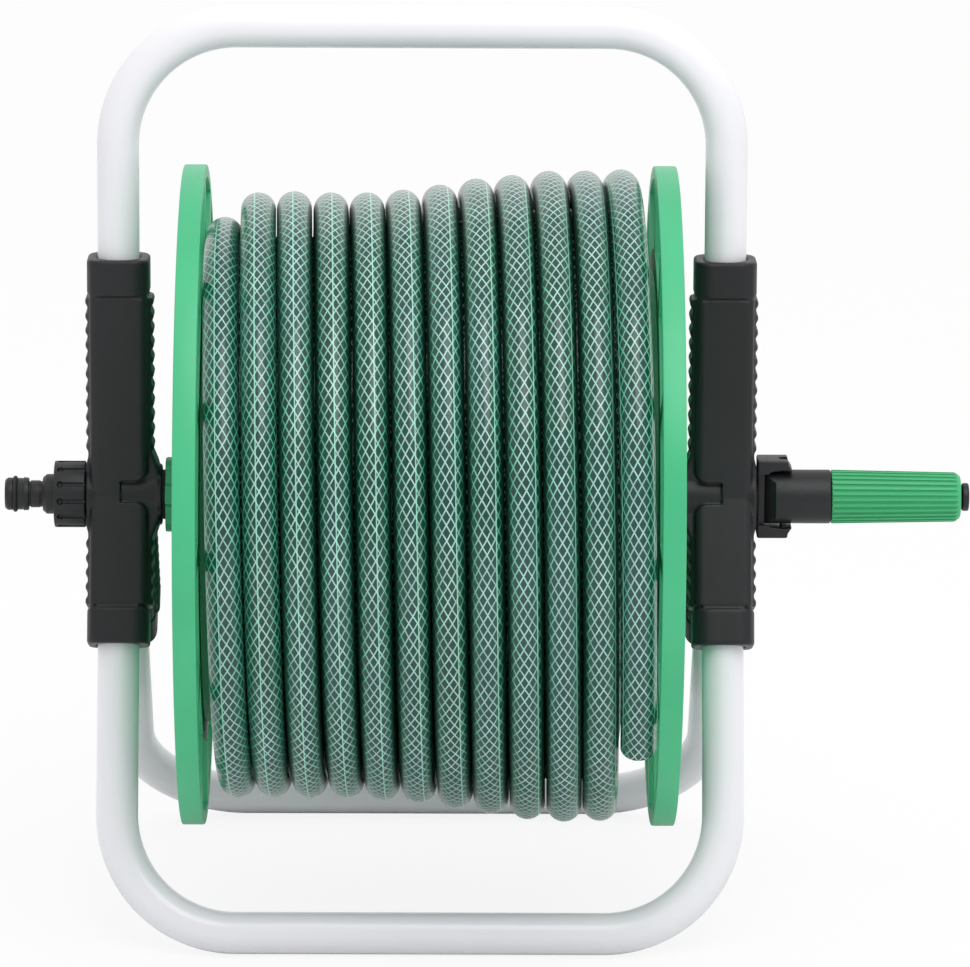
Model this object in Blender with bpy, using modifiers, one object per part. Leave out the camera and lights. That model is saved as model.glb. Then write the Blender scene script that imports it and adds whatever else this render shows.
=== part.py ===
"""Portable garden hose reel.

Three bent steel tubes, joined on each side by a moulded three-armed bracket, carry a drum
wound with braided hose. Water enters through the left end of the axle. A winding handle
folds out at the right end, on a fork that is keyed to the drum.

The model is in metres. X runs along the axle, Z is up and the user stands at -Y. The origin
is on the floor, under the middle of the front foot bar.
"""

import math

import bmesh
import bpy
import numpy as np
from mathutils import Matrix, Vector

# Fits between pieces
FIT_GAP = 0.0003
RUNNING_GAP = 0.0004
CUT_PAST = 0.0050

# Frame tubes
TUBE_DIAMETER = 0.0190
TUBE_WALL = 0.0012
TUBE_BEND_RADIUS = 0.0540
AXLE_HEIGHT = 0.1965
HANDLE_REACH = 0.2150
HANDLE_LEAN = math.radians(2.0)
FRONT_LEG_LEAN = math.radians(20.5)
REAR_LEG_LEAN = math.radians(40.0)

# Brackets
UPPER_ARM_LENGTH = 0.1100
FRONT_ARM_LENGTH = 0.0730
REAR_ARM_LENGTH = 0.1000
ARM_WIDTH = 0.0240
ARM_DEPTH = 0.0262
ARM_EDGE_RADIUS = 0.0030
ARM_START = 0.0062
ARM_CORNER_RADIUS = 0.0060
COLLAR_WIDTH = 0.0286
COLLAR_LENGTH = 0.0200
COLLAR_CORNER = 0.0085
COLLAR_CHAMFER = 0.0010
SOCKET_DEPTH = 0.0420
BOSS_RADIUS = 0.0115
BOSS_INNER_REACH = 0.0194
RIB_HALF_WIDTH = 0.0152
RIB_DEPTH = 0.0180
RIB_HEIGHT = 0.0017
RIB_PITCH = 0.00675
FLARE_LENGTH = 0.0115

# Screws that hold the tubes
TUBE_SCREW_RADIUS = 0.0016
TUBE_SCREW_HEAD_RADIUS = 0.0031
TUBE_SCREW_HEAD_HEIGHT = 0.0020
TUBE_SCREW_LENGTH = 0.0080
TUBE_SCREW_INSET = 0.0290

# Hose
HOSE_DIAMETER = 0.0160
HOSE_BORE = 0.0130
HOSE_TURNS = 12
HOSE_TURN_GAP = 0.0005
HOSE_END_ANGLE = math.radians(41.0)
HOSE_START_ANGLE = math.radians(-196.0)
HOSE_CLIMB_START = math.radians(-190.0)
HOSE_CLIMB_END = math.radians(30.0)
HOSE_FIRST_TURN_SLACK = 0.0032
HOSE_BULGE = 0.0105
HOSE_BULGE_START = -0.0356
HOSE_BULGE_WIDTH = 0.1017
HOSE_POINTS_PER_TURN = 24
LOWER_TURN_ANGLE = math.radians(150.0)
LOWER_TURN_DRIFT = 0.0190

# Drum
FLANGE_RADIUS = 0.1505
RIM_WIDTH = 0.0102
RIM_THICKNESS = 0.0036
RIM_ROUNDING = 0.0007
WEB_THICKNESS = 0.0026
STIFFENER_RADIUS = 0.1085
STIFFENER_WIDTH = 0.0024
STIFFENER_HEIGHT = 0.0044
WINDOW_COUNT = 12
WINDOW_INNER_RADIUS = 0.1130
WINDOW_EDGE = 0.0020
SPOKE_WIDTH = 0.0090
WINDOW_CORNER = 0.0040
FLANGE_RIB_COUNT = 6
FLANGE_RIB_WIDTH = 0.0024
BARREL_RADIUS = 0.1035
BARREL_WALL = 0.0024
DRUM_OFFSET = 0.0036
DRUM_END_GAP = 0.0007
SPIGOT_WALL = 0.0020
SPIGOT_LENGTH = 0.0080

# Inlet and rotating water joint
SHAFT_RADIUS = 0.0070
SHAFT_BORE = 0.0044
SHAFT_INNER_LENGTH = 0.0370
INLET_THREAD_RADIUS = 0.0100
INLET_THREAD_LENGTH = 0.0062
CLIP_RADIUS = 0.0095
CLIP_THICKNESS = 0.0010
CLIP_GROOVE_DEPTH = 0.0010
NUT_RADIUS = 0.0152
NUT_LENGTH = 0.0142
NUT_GROOVES = 12
NUT_GROOVE_DEPTH = 0.0009
NUT_GROOVE_SHARE = 0.22
NUT_NECK_RADIUS = 0.0091
NUT_NECK_LENGTH = 0.0036
NUT_TAPER_LENGTH = 0.0018
NIPPLE_NECK_RADIUS = 0.0062
NIPPLE_HEAD_RADIUS = 0.0074
NIPPLE_HEAD_LENGTH = 0.0108
NIPPLE_NECK_LENGTH = 0.0064
NIPPLE_FLANGE_RADIUS = 0.0094
NIPPLE_FLANGE_LENGTH = 0.0022
NIPPLE_BORE = 0.0042
NIPPLE_RING_SETBACK = 0.0046
NIPPLE_RING_DEPTH = 0.0012
RING_SECTION = 0.0010
RING_LIFT = 0.0001
SEAL_GROOVE_DEPTH = 1.1
SEAL_SECTION_SHARE = 0.9
WASHER_THICKNESS = 0.0015

# Outlet elbow in the drum
ELBOW_RADIUS = 0.0124
ELBOW_SHOULDER_RADIUS = 0.0165
ELBOW_SHOULDER_THICKNESS = 0.0034
ELBOW_LENGTH = 0.0560
ELBOW_END_WALL = 0.0024
HUB_COLLAR_RADIUS = 0.0178
HUB_COLLAR_BASE_RADIUS = 0.0155
HUB_COLLAR_ROUNDING = 0.0005
HUB_COLLAR_LOBES = 6
HUB_COLLAR_LOBE_SHARE = 0.44
HUB_COLLAR_TURN = math.radians(12.0)
BUSH_WALL = 0.0017
BUSH_LENGTH = 0.0160
BUSH_FLANGE_RADIUS = 0.0102
BUSH_FLANGE_THICKNESS = 0.0012
SPOUT_RADIUS = 0.0058
SPOUT_BORE = 0.0042
SPOUT_LENGTH = 0.0400
BARB_HEIGHT = 0.0005
BARB_COUNT = 3
CLAMP_WIDTH = 0.0090
CLAMP_THICKNESS = 0.0009
TAIL_START = 0.0180

# Winding handle
HANDLE_RADIUS = 0.0123
FORK_WEB_THICKNESS = 0.0022
FORK_WIDTH = 0.0150
FORK_EAR_THICKNESS = 0.0054
FORK_EAR_REACH = 0.0162
FORK_EAR_SLANT = 0.0022
FORK_PIN_RADIUS = 0.0015
FORK_PIN_HEAD_RADIUS = 0.0026
FORK_PIN_HEAD_HEIGHT = 0.0008
DRIVE_HEX_RADIUS = 0.0066
DRIVE_HEX_LENGTH = 0.0135
DRIVE_HEX_OVERLAP = 0.0015
HEX_GAP = 0.00035
RIGHT_HUB_RADIUS = 0.0170
RIGHT_HUB_DEPTH = 0.0064
RIGHT_HUB_RISE = 0.0020
AXLE_SCREW_RADIUS = 0.0020
AXLE_SCREW_HEAD_RADIUS = 0.0040
AXLE_SCREW_HEAD_HEIGHT = 0.0022
HANDLE_BARREL_LENGTH = 0.0130
STEM_NOSE = 0.0044
STEM_SHOULDER_SLOPE = 0.0014
SPINDLE_RADIUS = 0.0050
GRIP_LENGTH = 0.0590
GRIP_END_RADIUS = 0.0113
GRIP_RIBS = 22
GRIP_RIB_HEIGHT = 0.0006
GRIP_END_ROUNDING = 0.0032
TIP_RADIUS = 0.0064
TIP_LENGTH = 0.0032
TIP_PEG_RADIUS = 0.0026
TIP_PEG_LENGTH = 0.0120
GRIP_CAP_GAP = 0.0004

# Facets round each kind of piece
TUBE_SIDES = 12
BEND_STEPS = 4
FLANGE_STEPS = 36
ROUND_STEPS = 20
SOCKET_STEPS = 16
INNER_STEPS = 16
RING_STEPS = 12
SMALL_STEPS = 12
SCREW_STEPS = 8
FLAT_ANGLE = math.radians(0.05)

# Sizes that follow from the ones above
TUBE_RADIUS = TUBE_DIAMETER / 2
AXLE_DROP = AXLE_HEIGHT - TUBE_RADIUS * math.cos(math.pi / TUBE_SIDES)
FRONT_LEG_REACH = AXLE_DROP / math.cos(FRONT_LEG_LEAN)
REAR_LEG_REACH = AXLE_DROP / math.cos(REAR_LEG_LEAN)
AXLE_Y = FRONT_LEG_REACH * math.sin(FRONT_LEG_LEAN)
AXLE = Vector((0.0, AXLE_Y, AXLE_HEIGHT))

HOSE_RADIUS = HOSE_DIAMETER / 2
HOSE_PITCH = HOSE_DIAMETER + HOSE_TURN_GAP
CHORD_FACTOR = math.cos(math.pi / HOSE_POINTS_PER_TURN)
LOWER_LAYER_RADIUS = (BARREL_RADIUS + FIT_GAP + HOSE_RADIUS) / CHORD_FACTOR
UPPER_LAYER_RADIUS = (LOWER_LAYER_RADIUS + HOSE_DIAMETER + FIT_GAP) / CHORD_FACTOR

WOUND_TURNS = HOSE_TURNS - 1 + HOSE_END_ANGLE / math.tau
DRUM_GAP = WOUND_TURNS * HOSE_PITCH + HOSE_DIAMETER + 2 * FIT_GAP + HOSE_FIRST_TURN_SLACK
LEFT_FACE_X = DRUM_OFFSET - DRUM_GAP / 2
RIGHT_FACE_X = DRUM_OFFSET + DRUM_GAP / 2
FIRST_TURN_X = RIGHT_FACE_X - FIT_GAP - HOSE_RADIUS - WOUND_TURNS * HOSE_PITCH
LEFT_TURN_LIMIT = LEFT_FACE_X + FIT_GAP + HOSE_RADIUS

HUB_END_X = RIGHT_FACE_X + RIM_WIDTH + RIGHT_HUB_RISE
BOSS_INNER_X = HUB_END_X + DRUM_END_GAP
FRAME_HALF_WIDTH = BOSS_INNER_X + BOSS_INNER_REACH
BRACKET_OUTER_X = FRAME_HALF_WIDTH + RIB_HALF_WIDTH

FORK_X = BRACKET_OUTER_X + RUNNING_GAP
FORK_PIN_X = BRACKET_OUTER_X + RUNNING_GAP + HANDLE_RADIUS
STEM_TONGUE = FORK_PIN_X - (FORK_X + FORK_WEB_THICKNESS) - RUNNING_GAP
STEM_START_X = FORK_PIN_X + FORK_WIDTH / 2 + 2 * RUNNING_GAP
GRIP_START_X = STEM_START_X + HANDLE_BARREL_LENGTH + RUNNING_GAP
GRIP_END_X = GRIP_START_X + GRIP_LENGTH

COLLECTION_NAME = "hose_reel"
CUTTER_COLLECTION_NAME = "cutters"

COLOURS = {
    "white_enamel": ((0.86, 0.86, 0.87, 1.0), 0.30, 0.0),
    "black_plastic": ((0.022, 0.022, 0.025, 1.0), 0.45, 0.0),
    "green_plastic": ((0.055, 0.47, 0.21, 1.0), 0.40, 0.0),
    "green_hose": ((0.012, 0.13, 0.085, 1.0), 0.25, 0.0),
    "rubber": ((0.012, 0.012, 0.012, 1.0), 0.80, 0.0),
    "zinc_steel": ((0.60, 0.60, 0.62, 1.0), 0.35, 1.0),
    "acetal": ((0.75, 0.75, 0.72, 1.0), 0.45, 0.0),
}


def clear_scene():
    """Remove every object that the file opened with."""
    for leftover in list(bpy.data.objects):
        bpy.data.objects.remove(leftover, do_unlink=True)


def collection(name):
    """Return the named collection, made on first use."""
    found = bpy.data.collections.get(name)
    if found is None:
        found = bpy.data.collections.new(name)
        bpy.context.scene.collection.children.link(found)
    return found


def material(name, finish):
    """Make a Principled material for one sub-part from a named finish."""
    colour, roughness, metallic = COLOURS[finish]
    made = bpy.data.materials.new(name)
    made.use_nodes = True
    shader = made.node_tree.nodes["Principled BSDF"]
    shader.inputs["Base Color"].default_value = colour
    shader.inputs["Roughness"].default_value = roughness
    shader.inputs["Metallic"].default_value = metallic
    made.diffuse_color = colour
    return made


def add_object(name, data, finish=None, matrix=None):
    """Link an object to the part, or to the cutters when it has no finish."""
    made = bpy.data.objects.new(name, data)
    if finish is None:
        collection(CUTTER_COLLECTION_NAME).objects.link(made)
        made.hide_render = True
        made.display_type = "WIRE"
    else:
        collection(COLLECTION_NAME).objects.link(made)
        data.materials.append(material(name, finish))
    if matrix is not None:
        made.matrix_world = matrix
    return made


def finish_mesh(mesh, angle=math.radians(35.0)):
    """Shade a mesh smooth, with its real edges kept sharp."""
    mesh.shade_smooth()
    mesh.set_sharp_from_angle(angle=angle)


def placed(origin, direction):
    """Return a matrix that carries local +Z to a direction, at an origin."""
    turn = Vector((0.0, 0.0, 1.0)).rotation_difference(Vector(direction))
    return Matrix.Translation(Vector(origin)) @ turn.to_matrix().to_4x4()


def turned(name, profile, finish, origin, direction, steps=ROUND_STEPS, ring=False):
    """Revolve (height, radius) points about a direction.

    The points run down the outer side from the top. A ring's profile closes on itself,
    and any other profile starts and ends on the axis.
    """
    mesh = bpy.data.meshes.new(name)
    count = len(profile)
    links = count if ring else count - 1
    edges = [(index, (index + 1) % count) for index in range(links)]
    mesh.from_pydata([(radius, 0.0, height) for height, radius in profile], edges, [])
    made = add_object(name, mesh, finish, placed(origin, direction))
    screw = made.modifiers.new("Turn", "SCREW")
    screw.steps = steps
    screw.render_steps = steps
    screw.use_merge_vertices = True
    screw.merge_threshold = 0.00001
    screw.use_smooth_shade = False
    return made


def rod(name, start, end, radius, finish=None, steps=ROUND_STEPS, end_radius=None):
    """Make a cylinder or cone between two points."""
    start = Vector(start)
    end = Vector(end)
    mesh = bpy.data.meshes.new(name)
    shape = bmesh.new()
    bmesh.ops.create_cone(
        shape,
        cap_ends=True,
        segments=steps,
        radius1=radius,
        radius2=radius if end_radius is None else end_radius,
        depth=(end - start).length,
    )
    shape.to_mesh(mesh)
    shape.free()
    finish_mesh(mesh)
    return add_object(name, mesh, finish, placed((start + end) / 2, end - start))


def box(name, centre, size, finish=None, matrix=None):
    """Make a block of the given size in a local frame."""
    mesh = bpy.data.meshes.new(name)
    shape = bmesh.new()
    bmesh.ops.create_cube(shape, size=1.0)
    bmesh.ops.scale(shape, vec=Vector(size), verts=shape.verts)
    bmesh.ops.translate(shape, vec=Vector(centre), verts=shape.verts)
    shape.to_mesh(mesh)
    shape.free()
    return add_object(name, mesh, finish, matrix)


def mesh_from_curve(name, curve, finish, matrix):
    """Turn a curve into a mesh object with its caps welded on."""
    guide = bpy.data.objects.new(name + "_curve", curve)
    collection(CUTTER_COLLECTION_NAME).objects.link(guide)
    guide.matrix_world = matrix
    bpy.context.view_layer.update()
    evaluated = guide.evaluated_get(bpy.context.evaluated_depsgraph_get())
    mesh = bpy.data.meshes.new_from_object(evaluated)
    mesh.name = name
    mesh.materials.clear()
    place = guide.matrix_world.copy()
    bpy.data.objects.remove(guide, do_unlink=True)
    shape = bmesh.new()
    shape.from_mesh(mesh)
    bmesh.ops.remove_doubles(shape, verts=shape.verts, dist=0.000001)
    if curve.dimensions == "2D":
        bmesh.ops.dissolve_limit(
            shape, angle_limit=FLAT_ANGLE, use_dissolve_boundaries=False, verts=shape.verts, edges=shape.edges
        )
    shape.to_mesh(mesh)
    shape.free()
    finish_mesh(mesh)
    return add_object(name, mesh, finish, place)


def outline_slab(name, outlines, half_depth, finish, matrix, edge_radius=0.0):
    """Extrude flat closed outlines to both sides of their plane."""
    curve = bpy.data.curves.new(name, "CURVE")
    curve.dimensions = "2D"
    curve.fill_mode = "BOTH"
    curve.extrude = half_depth - edge_radius
    if edge_radius:
        curve.bevel_depth = edge_radius
        curve.bevel_resolution = 0
        curve.offset = -edge_radius
    for outline in outlines:
        add_spline(curve, [(x, y, 0.0) for x, y in outline], closed=True)
    return mesh_from_curve(name, curve, finish, matrix)


def add_spline(curve, points, closed=False):
    """Add a straight-sided spline through the points."""
    spline = curve.splines.new("POLY")
    spline.points.add(len(points) - 1)
    for target, point in zip(spline.points, points):
        target.co = (*point, 1.0)
    spline.use_cyclic_u = closed
    return spline


def combine(target, tool, operation):
    """Add a Boolean step with another object as its tool."""
    step = target.modifiers.new(operation.title(), "BOOLEAN")
    step.operation = operation
    step.solver = "EXACT"
    step.object = tool


def cut(target, tool):
    combine(target, tool, "DIFFERENCE")


def join(target, tool):
    combine(target, tool, "UNION")


def merge_flats(target):
    """Merge the flat pieces that the Boolean steps of an object leave."""
    merge = target.modifiers.new("Flats", "DECIMATE")
    merge.decimate_type = "DISSOLVE"
    merge.angle_limit = FLAT_ANGLE
    return target


def bore_radius(radius, gap=FIT_GAP, steps=ROUND_STEPS):
    """Return a faceted bore's radius that clears a round piece by the gap."""
    return (radius + gap) / math.cos(math.pi / steps)


def on_axle(x, radius=0.0, angle=0.0):
    """Return a point at a distance from the axle, its angle taken from the front downwards."""
    return Vector((x, AXLE.y - radius * math.cos(angle), AXLE.z - radius * math.sin(angle)))


def arc(centre, radius, start, end, count):
    """Return points along an arc in a plane, with both ends."""
    points = []
    for index in range(count + 1):
        angle = start + (end - start) * index / count
        points.append((centre[0] + radius * math.cos(angle), centre[1] + radius * math.sin(angle)))
    return points


def arm_direction(lean):
    """Return the unit vector of an arm from its lean back from straight up."""
    return Vector((0.0, math.sin(lean), math.cos(lean)))


def arm_matrix(x, lean):
    """Return the frame of an arm: local X along the axle and local Y along the arm."""
    along = arm_direction(lean)
    across = Vector((1.0, 0.0, 0.0))
    matrix = Matrix((across, along, across.cross(along))).transposed().to_4x4()
    return Matrix.Translation(Vector((x, AXLE.y, AXLE.z))) @ matrix


ARMS = {
    "handle": (HANDLE_LEAN, UPPER_ARM_LENGTH, HANDLE_REACH),
    "front_foot": (math.pi + FRONT_LEG_LEAN, FRONT_ARM_LENGTH, FRONT_LEG_REACH),
    "rear_foot": (math.pi - REAR_LEG_LEAN, REAR_ARM_LENGTH, REAR_LEG_REACH),
}
ARM_DRAFT = {"handle": 0.0, "front_foot": 0.0002, "rear_foot": 0.0005}


def tube_roll(lean):
    """Return the roll that lays one flat of a tube on the floor under its bar."""
    side = math.tau / TUBE_SIDES
    from_flat = lean - side / 2
    return from_flat - side * round(from_flat / side)


def frame_tube(name, arm):
    """Bend one hollow tube into a U whose legs end in the brackets' sockets."""
    lean, arm_length, reach = ARMS[arm]
    half = FRAME_HALF_WIDTH
    bend = TUBE_BEND_RADIUS
    start = arm_length - SOCKET_DEPTH
    left = arc((bend - half, reach - bend), bend, math.pi, math.pi / 2, BEND_STEPS)
    right = arc((half - bend, reach - bend), bend, math.pi / 2, 0.0, BEND_STEPS)
    route = [(-half, start)] + left + right + [(half, start)]
    curve = bpy.data.curves.new(name, "CURVE")
    curve.dimensions = "3D"
    curve.bevel_depth = TUBE_RADIUS
    curve.bevel_resolution = (TUBE_SIDES - 4) // 2
    curve.use_fill_caps = False
    spline = add_spline(curve, [(x, y, 0.0) for x, y in route])
    for point in spline.points:
        point.tilt = tube_roll(lean)
    tube = mesh_from_curve(name, curve, "white_enamel", arm_matrix(0.0, lean))
    wall = tube.modifiers.new("Wall", "SOLIDIFY")
    wall.thickness = TUBE_WALL
    wall.offset = -1.0
    for side in (-1, 1):
        hole = screw_path(f"{name}_hole_{side}", arm, side, TUBE_SCREW_RADIUS + FIT_GAP, 0.0)
        cut(tube, hole)
    return merge_flats(tube)


def screw_seat(arm, side, outward):
    """Return a point on a tube screw's line, at a distance outside the tube's centre."""
    lean, arm_length, _ = ARMS[arm]
    along = arm_length - TUBE_SCREW_INSET
    return Vector((side * (FRAME_HALF_WIDTH + outward), *(AXLE + along * arm_direction(lean)).yz))


def screw_path(name, arm, side, radius, inner):
    """Make a cutter along a tube screw's line."""
    start = screw_seat(arm, side, inner)
    end = screw_seat(arm, side, RIB_HALF_WIDTH + TUBE_SCREW_LENGTH)
    return rod(name, start, end, radius, steps=SCREW_STEPS)


SCREW_HEAD_BASE = RIB_HALF_WIDTH - TUBE_SCREW_HEAD_HEIGHT - 0.0010


def tube_screw(name, arm, side):
    """Make the self-tapping screw that holds one leg of a tube in its socket."""
    head = TUBE_SCREW_HEAD_RADIUS
    top = TUBE_SCREW_HEAD_HEIGHT
    profile = [
        (top, 0.0),
        (top, head * 0.6),
        (0.0, head),
        (0.0, TUBE_SCREW_RADIUS),
        (-TUBE_SCREW_LENGTH + TUBE_SCREW_RADIUS, TUBE_SCREW_RADIUS),
        (-TUBE_SCREW_LENGTH, 0.0),
    ]
    seat = screw_seat(arm, side, SCREW_HEAD_BASE)
    return turned(name, profile, "zinc_steel", seat, (side, 0.0, 0.0), steps=SCREW_STEPS)


def rib_edge(first, last, half_width):
    """Return (distance, half width) points of one scalloped edge of an arm."""
    count = max(1, round((last - first) / RIB_PITCH))
    pitch = (last - first) / count
    points = []
    for index in range(count):
        base = first + index * pitch
        points.append((base, half_width - RIB_HEIGHT))
        points.append((base + pitch * 0.28, half_width))
        points.append((base + pitch * 0.72, half_width))
    points.append((last, half_width - RIB_HEIGHT))
    return points


def arm_ribs(name, arm, side):
    """Make the slab of scalloped ribs that shows on both sides of an arm."""
    lean, arm_length, _ = ARMS[arm]
    draft = ARM_DRAFT[arm]
    start = ARM_START - 0.0010 - draft
    edge = rib_edge(ARM_START + FLARE_LENGTH, arm_length - COLLAR_LENGTH + 0.0040, RIB_HALF_WIDTH - draft)
    flare = [
        (start, BOSS_INNER_REACH - FIT_GAP - draft),
        (ARM_START + FLARE_LENGTH * 0.40, BOSS_INNER_REACH - 0.0018 - draft),
    ]
    inner = [(-side * width, along) for along, width in flare + edge]
    outer = [(side * width, along) for along, width in [(start, RIB_HALF_WIDTH - FIT_GAP - draft)] + edge]
    outline = inner + outer[::-1]
    place = arm_matrix(side * FRAME_HALF_WIDTH, lean)
    return outline_slab(name, [outline], RIB_DEPTH / 2, None, place)


def arm_body(name, arm, side):
    """Make the smooth rounded body of an arm, with round corners at the boss."""
    lean, arm_length, _ = ARMS[arm]
    half = ARM_WIDTH / 2
    corner = ARM_CORNER_RADIUS
    top = arm_length - COLLAR_LENGTH
    outline = [(-half, top), (-half, ARM_START + corner)]
    outline += arc((corner - half, ARM_START + corner), corner, math.pi, math.pi * 1.5, 3)[1:]
    outline += arc((half - corner, ARM_START + corner), corner, -math.pi / 2, 0.0, 3)
    outline += [(half, top)]
    place = arm_matrix(side * FRAME_HALF_WIDTH, lean)
    return outline_slab(name, [outline], ARM_DEPTH / 2, None, place, ARM_EDGE_RADIUS)


def arm_collar(name, arm, side):
    """Make the thicker collar round the mouth of an arm's socket."""
    lean, arm_length, _ = ARMS[arm]
    middle = arm_length - COLLAR_LENGTH / 2 - 0.0020
    size = (COLLAR_WIDTH, COLLAR_LENGTH + 0.0040, COLLAR_WIDTH)
    place = arm_matrix(side * FRAME_HALF_WIDTH, lean)
    collar = box(name, (0.0, middle, 0.0), size, None, place)
    shape = bmesh.new()
    shape.from_mesh(collar.data)
    long_edges = [edge for edge in shape.edges if abs((edge.verts[0].co - edge.verts[1].co).y) > 0.001]
    bmesh.ops.bevel(
        shape, geom=long_edges, offset=COLLAR_CORNER, segments=2, profile=0.5, affect="EDGES", clamp_overlap=True
    )
    mouth = [edge for edge in shape.edges if min(vert.co.y for vert in edge.verts) > middle]
    bmesh.ops.bevel(shape, geom=mouth, offset=COLLAR_CHAMFER, segments=1, affect="EDGES", clamp_overlap=True)
    shape.to_mesh(collar.data)
    shape.free()
    return collar


def bracket(name, side):
    """Make one moulded bracket: an axle boss and three arms with tube sockets."""
    inner_x = side * BOSS_INNER_X
    outer_x = side * BRACKET_OUTER_X
    body = rod(name, on_axle(inner_x), on_axle(outer_x), BOSS_RADIUS, "black_plastic")
    for arm in ARMS:
        join(body, arm_body(f"{name}_{arm}_body", arm, side))
        join(body, arm_ribs(f"{name}_{arm}_ribs", arm, side))
        join(body, arm_collar(f"{name}_{arm}_collar", arm, side))
    for arm, (lean, arm_length, _) in ARMS.items():
        root = Vector((side * FRAME_HALF_WIDTH, AXLE.y, AXLE.z))
        bottom = root + (arm_length - SOCKET_DEPTH - FIT_GAP) * arm_direction(lean)
        mouth = root + (arm_length + CUT_PAST) * arm_direction(lean)
        cut(body, rod(f"{name}_{arm}_socket", bottom, mouth, bore_radius(TUBE_RADIUS, steps=SOCKET_STEPS),
                      steps=SOCKET_STEPS))
        cut(body, screw_path(f"{name}_{arm}_screw_hole", arm, side, TUBE_SCREW_RADIUS + FIT_GAP, TUBE_RADIUS / 2))
        seat = screw_path(
            f"{name}_{arm}_screw_seat", arm, side, TUBE_SCREW_HEAD_RADIUS + 0.0006, SCREW_HEAD_BASE - FIT_GAP
        )
        cut(body, seat)
    bore = SHAFT_RADIUS if side < 0 else SHAFT_RADIUS + RUNNING_GAP + BUSH_WALL
    start = on_axle(inner_x - side * CUT_PAST)
    end = on_axle(outer_x + side * CUT_PAST)
    cut(body, rod(f"{name}_bore", start, end, bore_radius(bore)))
    return merge_flats(body)


def sector_window(centre_angle, inner, outer, spoke):
    """Return the outline of one flange window between two spokes, with cut corners."""
    step = math.pi / WINDOW_COUNT
    points = []
    for radius, direction, count in ((outer, 1, 2), (inner, -1, 1)):
        half = step - math.asin(spoke / 2 / radius)
        corner = WINDOW_CORNER / radius
        toward = -WINDOW_CORNER if direction > 0 else WINDOW_CORNER
        side_radius = radius + toward
        side_half = step - math.asin(spoke / 2 / side_radius)
        first = centre_angle - direction * side_half
        last = centre_angle + direction * side_half
        points.append((side_radius * math.cos(first), side_radius * math.sin(first)))
        sweep_start = centre_angle - direction * (half - corner)
        sweep_end = centre_angle + direction * (half - corner)
        points += arc((0.0, 0.0), radius, sweep_start, sweep_end, count)
        points.append((side_radius * math.cos(last), side_radius * math.sin(last)))
    return points


def flange_windows(name, x):
    """Make the cutter of all the windows between the spokes of a flange."""
    outer = FLANGE_RADIUS - RIM_THICKNESS - WINDOW_EDGE
    step = math.tau / WINDOW_COUNT
    outlines = [
        sector_window((index + 0.5) * step, WINDOW_INNER_RADIUS, outer, SPOKE_WIDTH)
        for index in range(WINDOW_COUNT)
    ]
    return outline_slab(name, outlines, WEB_THICKNESS * 2, None, placed(on_axle(x), (1.0, 0.0, 0.0)))


def rim_profile(hub):
    """Return a flange's (height, radius) profile from a hub's points on its outer face."""
    web = WEB_THICKNESS
    rim = FLANGE_RADIUS - RIM_THICKNESS
    rounding = RIM_ROUNDING
    spigot = BARREL_RADIUS - BARREL_WALL - FIT_GAP
    return hub + [
        (web, STIFFENER_RADIUS - STIFFENER_WIDTH),
        (web + STIFFENER_HEIGHT, STIFFENER_RADIUS - STIFFENER_WIDTH),
        (web + STIFFENER_HEIGHT, STIFFENER_RADIUS),
        (web, STIFFENER_RADIUS),
        (web, rim),
        (RIM_WIDTH, rim),
        (RIM_WIDTH, FLANGE_RADIUS - rounding),
        (RIM_WIDTH - rounding, FLANGE_RADIUS),
        (0.0, FLANGE_RADIUS),
        (0.0, spigot),
        (-SPIGOT_LENGTH, spigot - FIT_GAP),
        (-SPIGOT_LENGTH, spigot - SPIGOT_WALL),
        (0.0, spigot - SPIGOT_WALL),
    ]


def finish_flange(flange, side, face_x, hub_radius):
    """Add a flange's radial ribs and cut its windows."""
    name = flange.name
    for index in range(FLANGE_RIB_COUNT):
        angle = math.tau * index / FLANGE_RIB_COUNT
        turn = Matrix.Translation(on_axle(face_x)) @ Matrix.Rotation(angle, 4, "X")
        inner = hub_radius - 0.0010
        outer = STIFFENER_RADIUS - STIFFENER_WIDTH / 2
        centre = (side * (WEB_THICKNESS / 2 + STIFFENER_HEIGHT / 2), 0.0, (inner + outer) / 2)
        size = (STIFFENER_HEIGHT, FLANGE_RIB_WIDTH, outer - inner)
        join(flange, box(f"{name}_rib_{index}", centre, size, None, turn))
    cut(flange, flange_windows(f"{name}_windows", face_x))


def left_flange():
    """Make the flange that the outlet elbow passes through."""
    hole = bore_radius(ELBOW_RADIUS)
    profile = rim_profile([(0.0, hole), (WEB_THICKNESS, hole)])
    flange = turned(
        "left_flange", profile, "green_plastic", on_axle(LEFT_FACE_X), (-1.0, 0.0, 0.0), FLANGE_STEPS, ring=True
    )
    finish_flange(flange, -1, LEFT_FACE_X, HUB_COLLAR_RADIUS + 0.0030)
    return merge_flats(flange)


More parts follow.
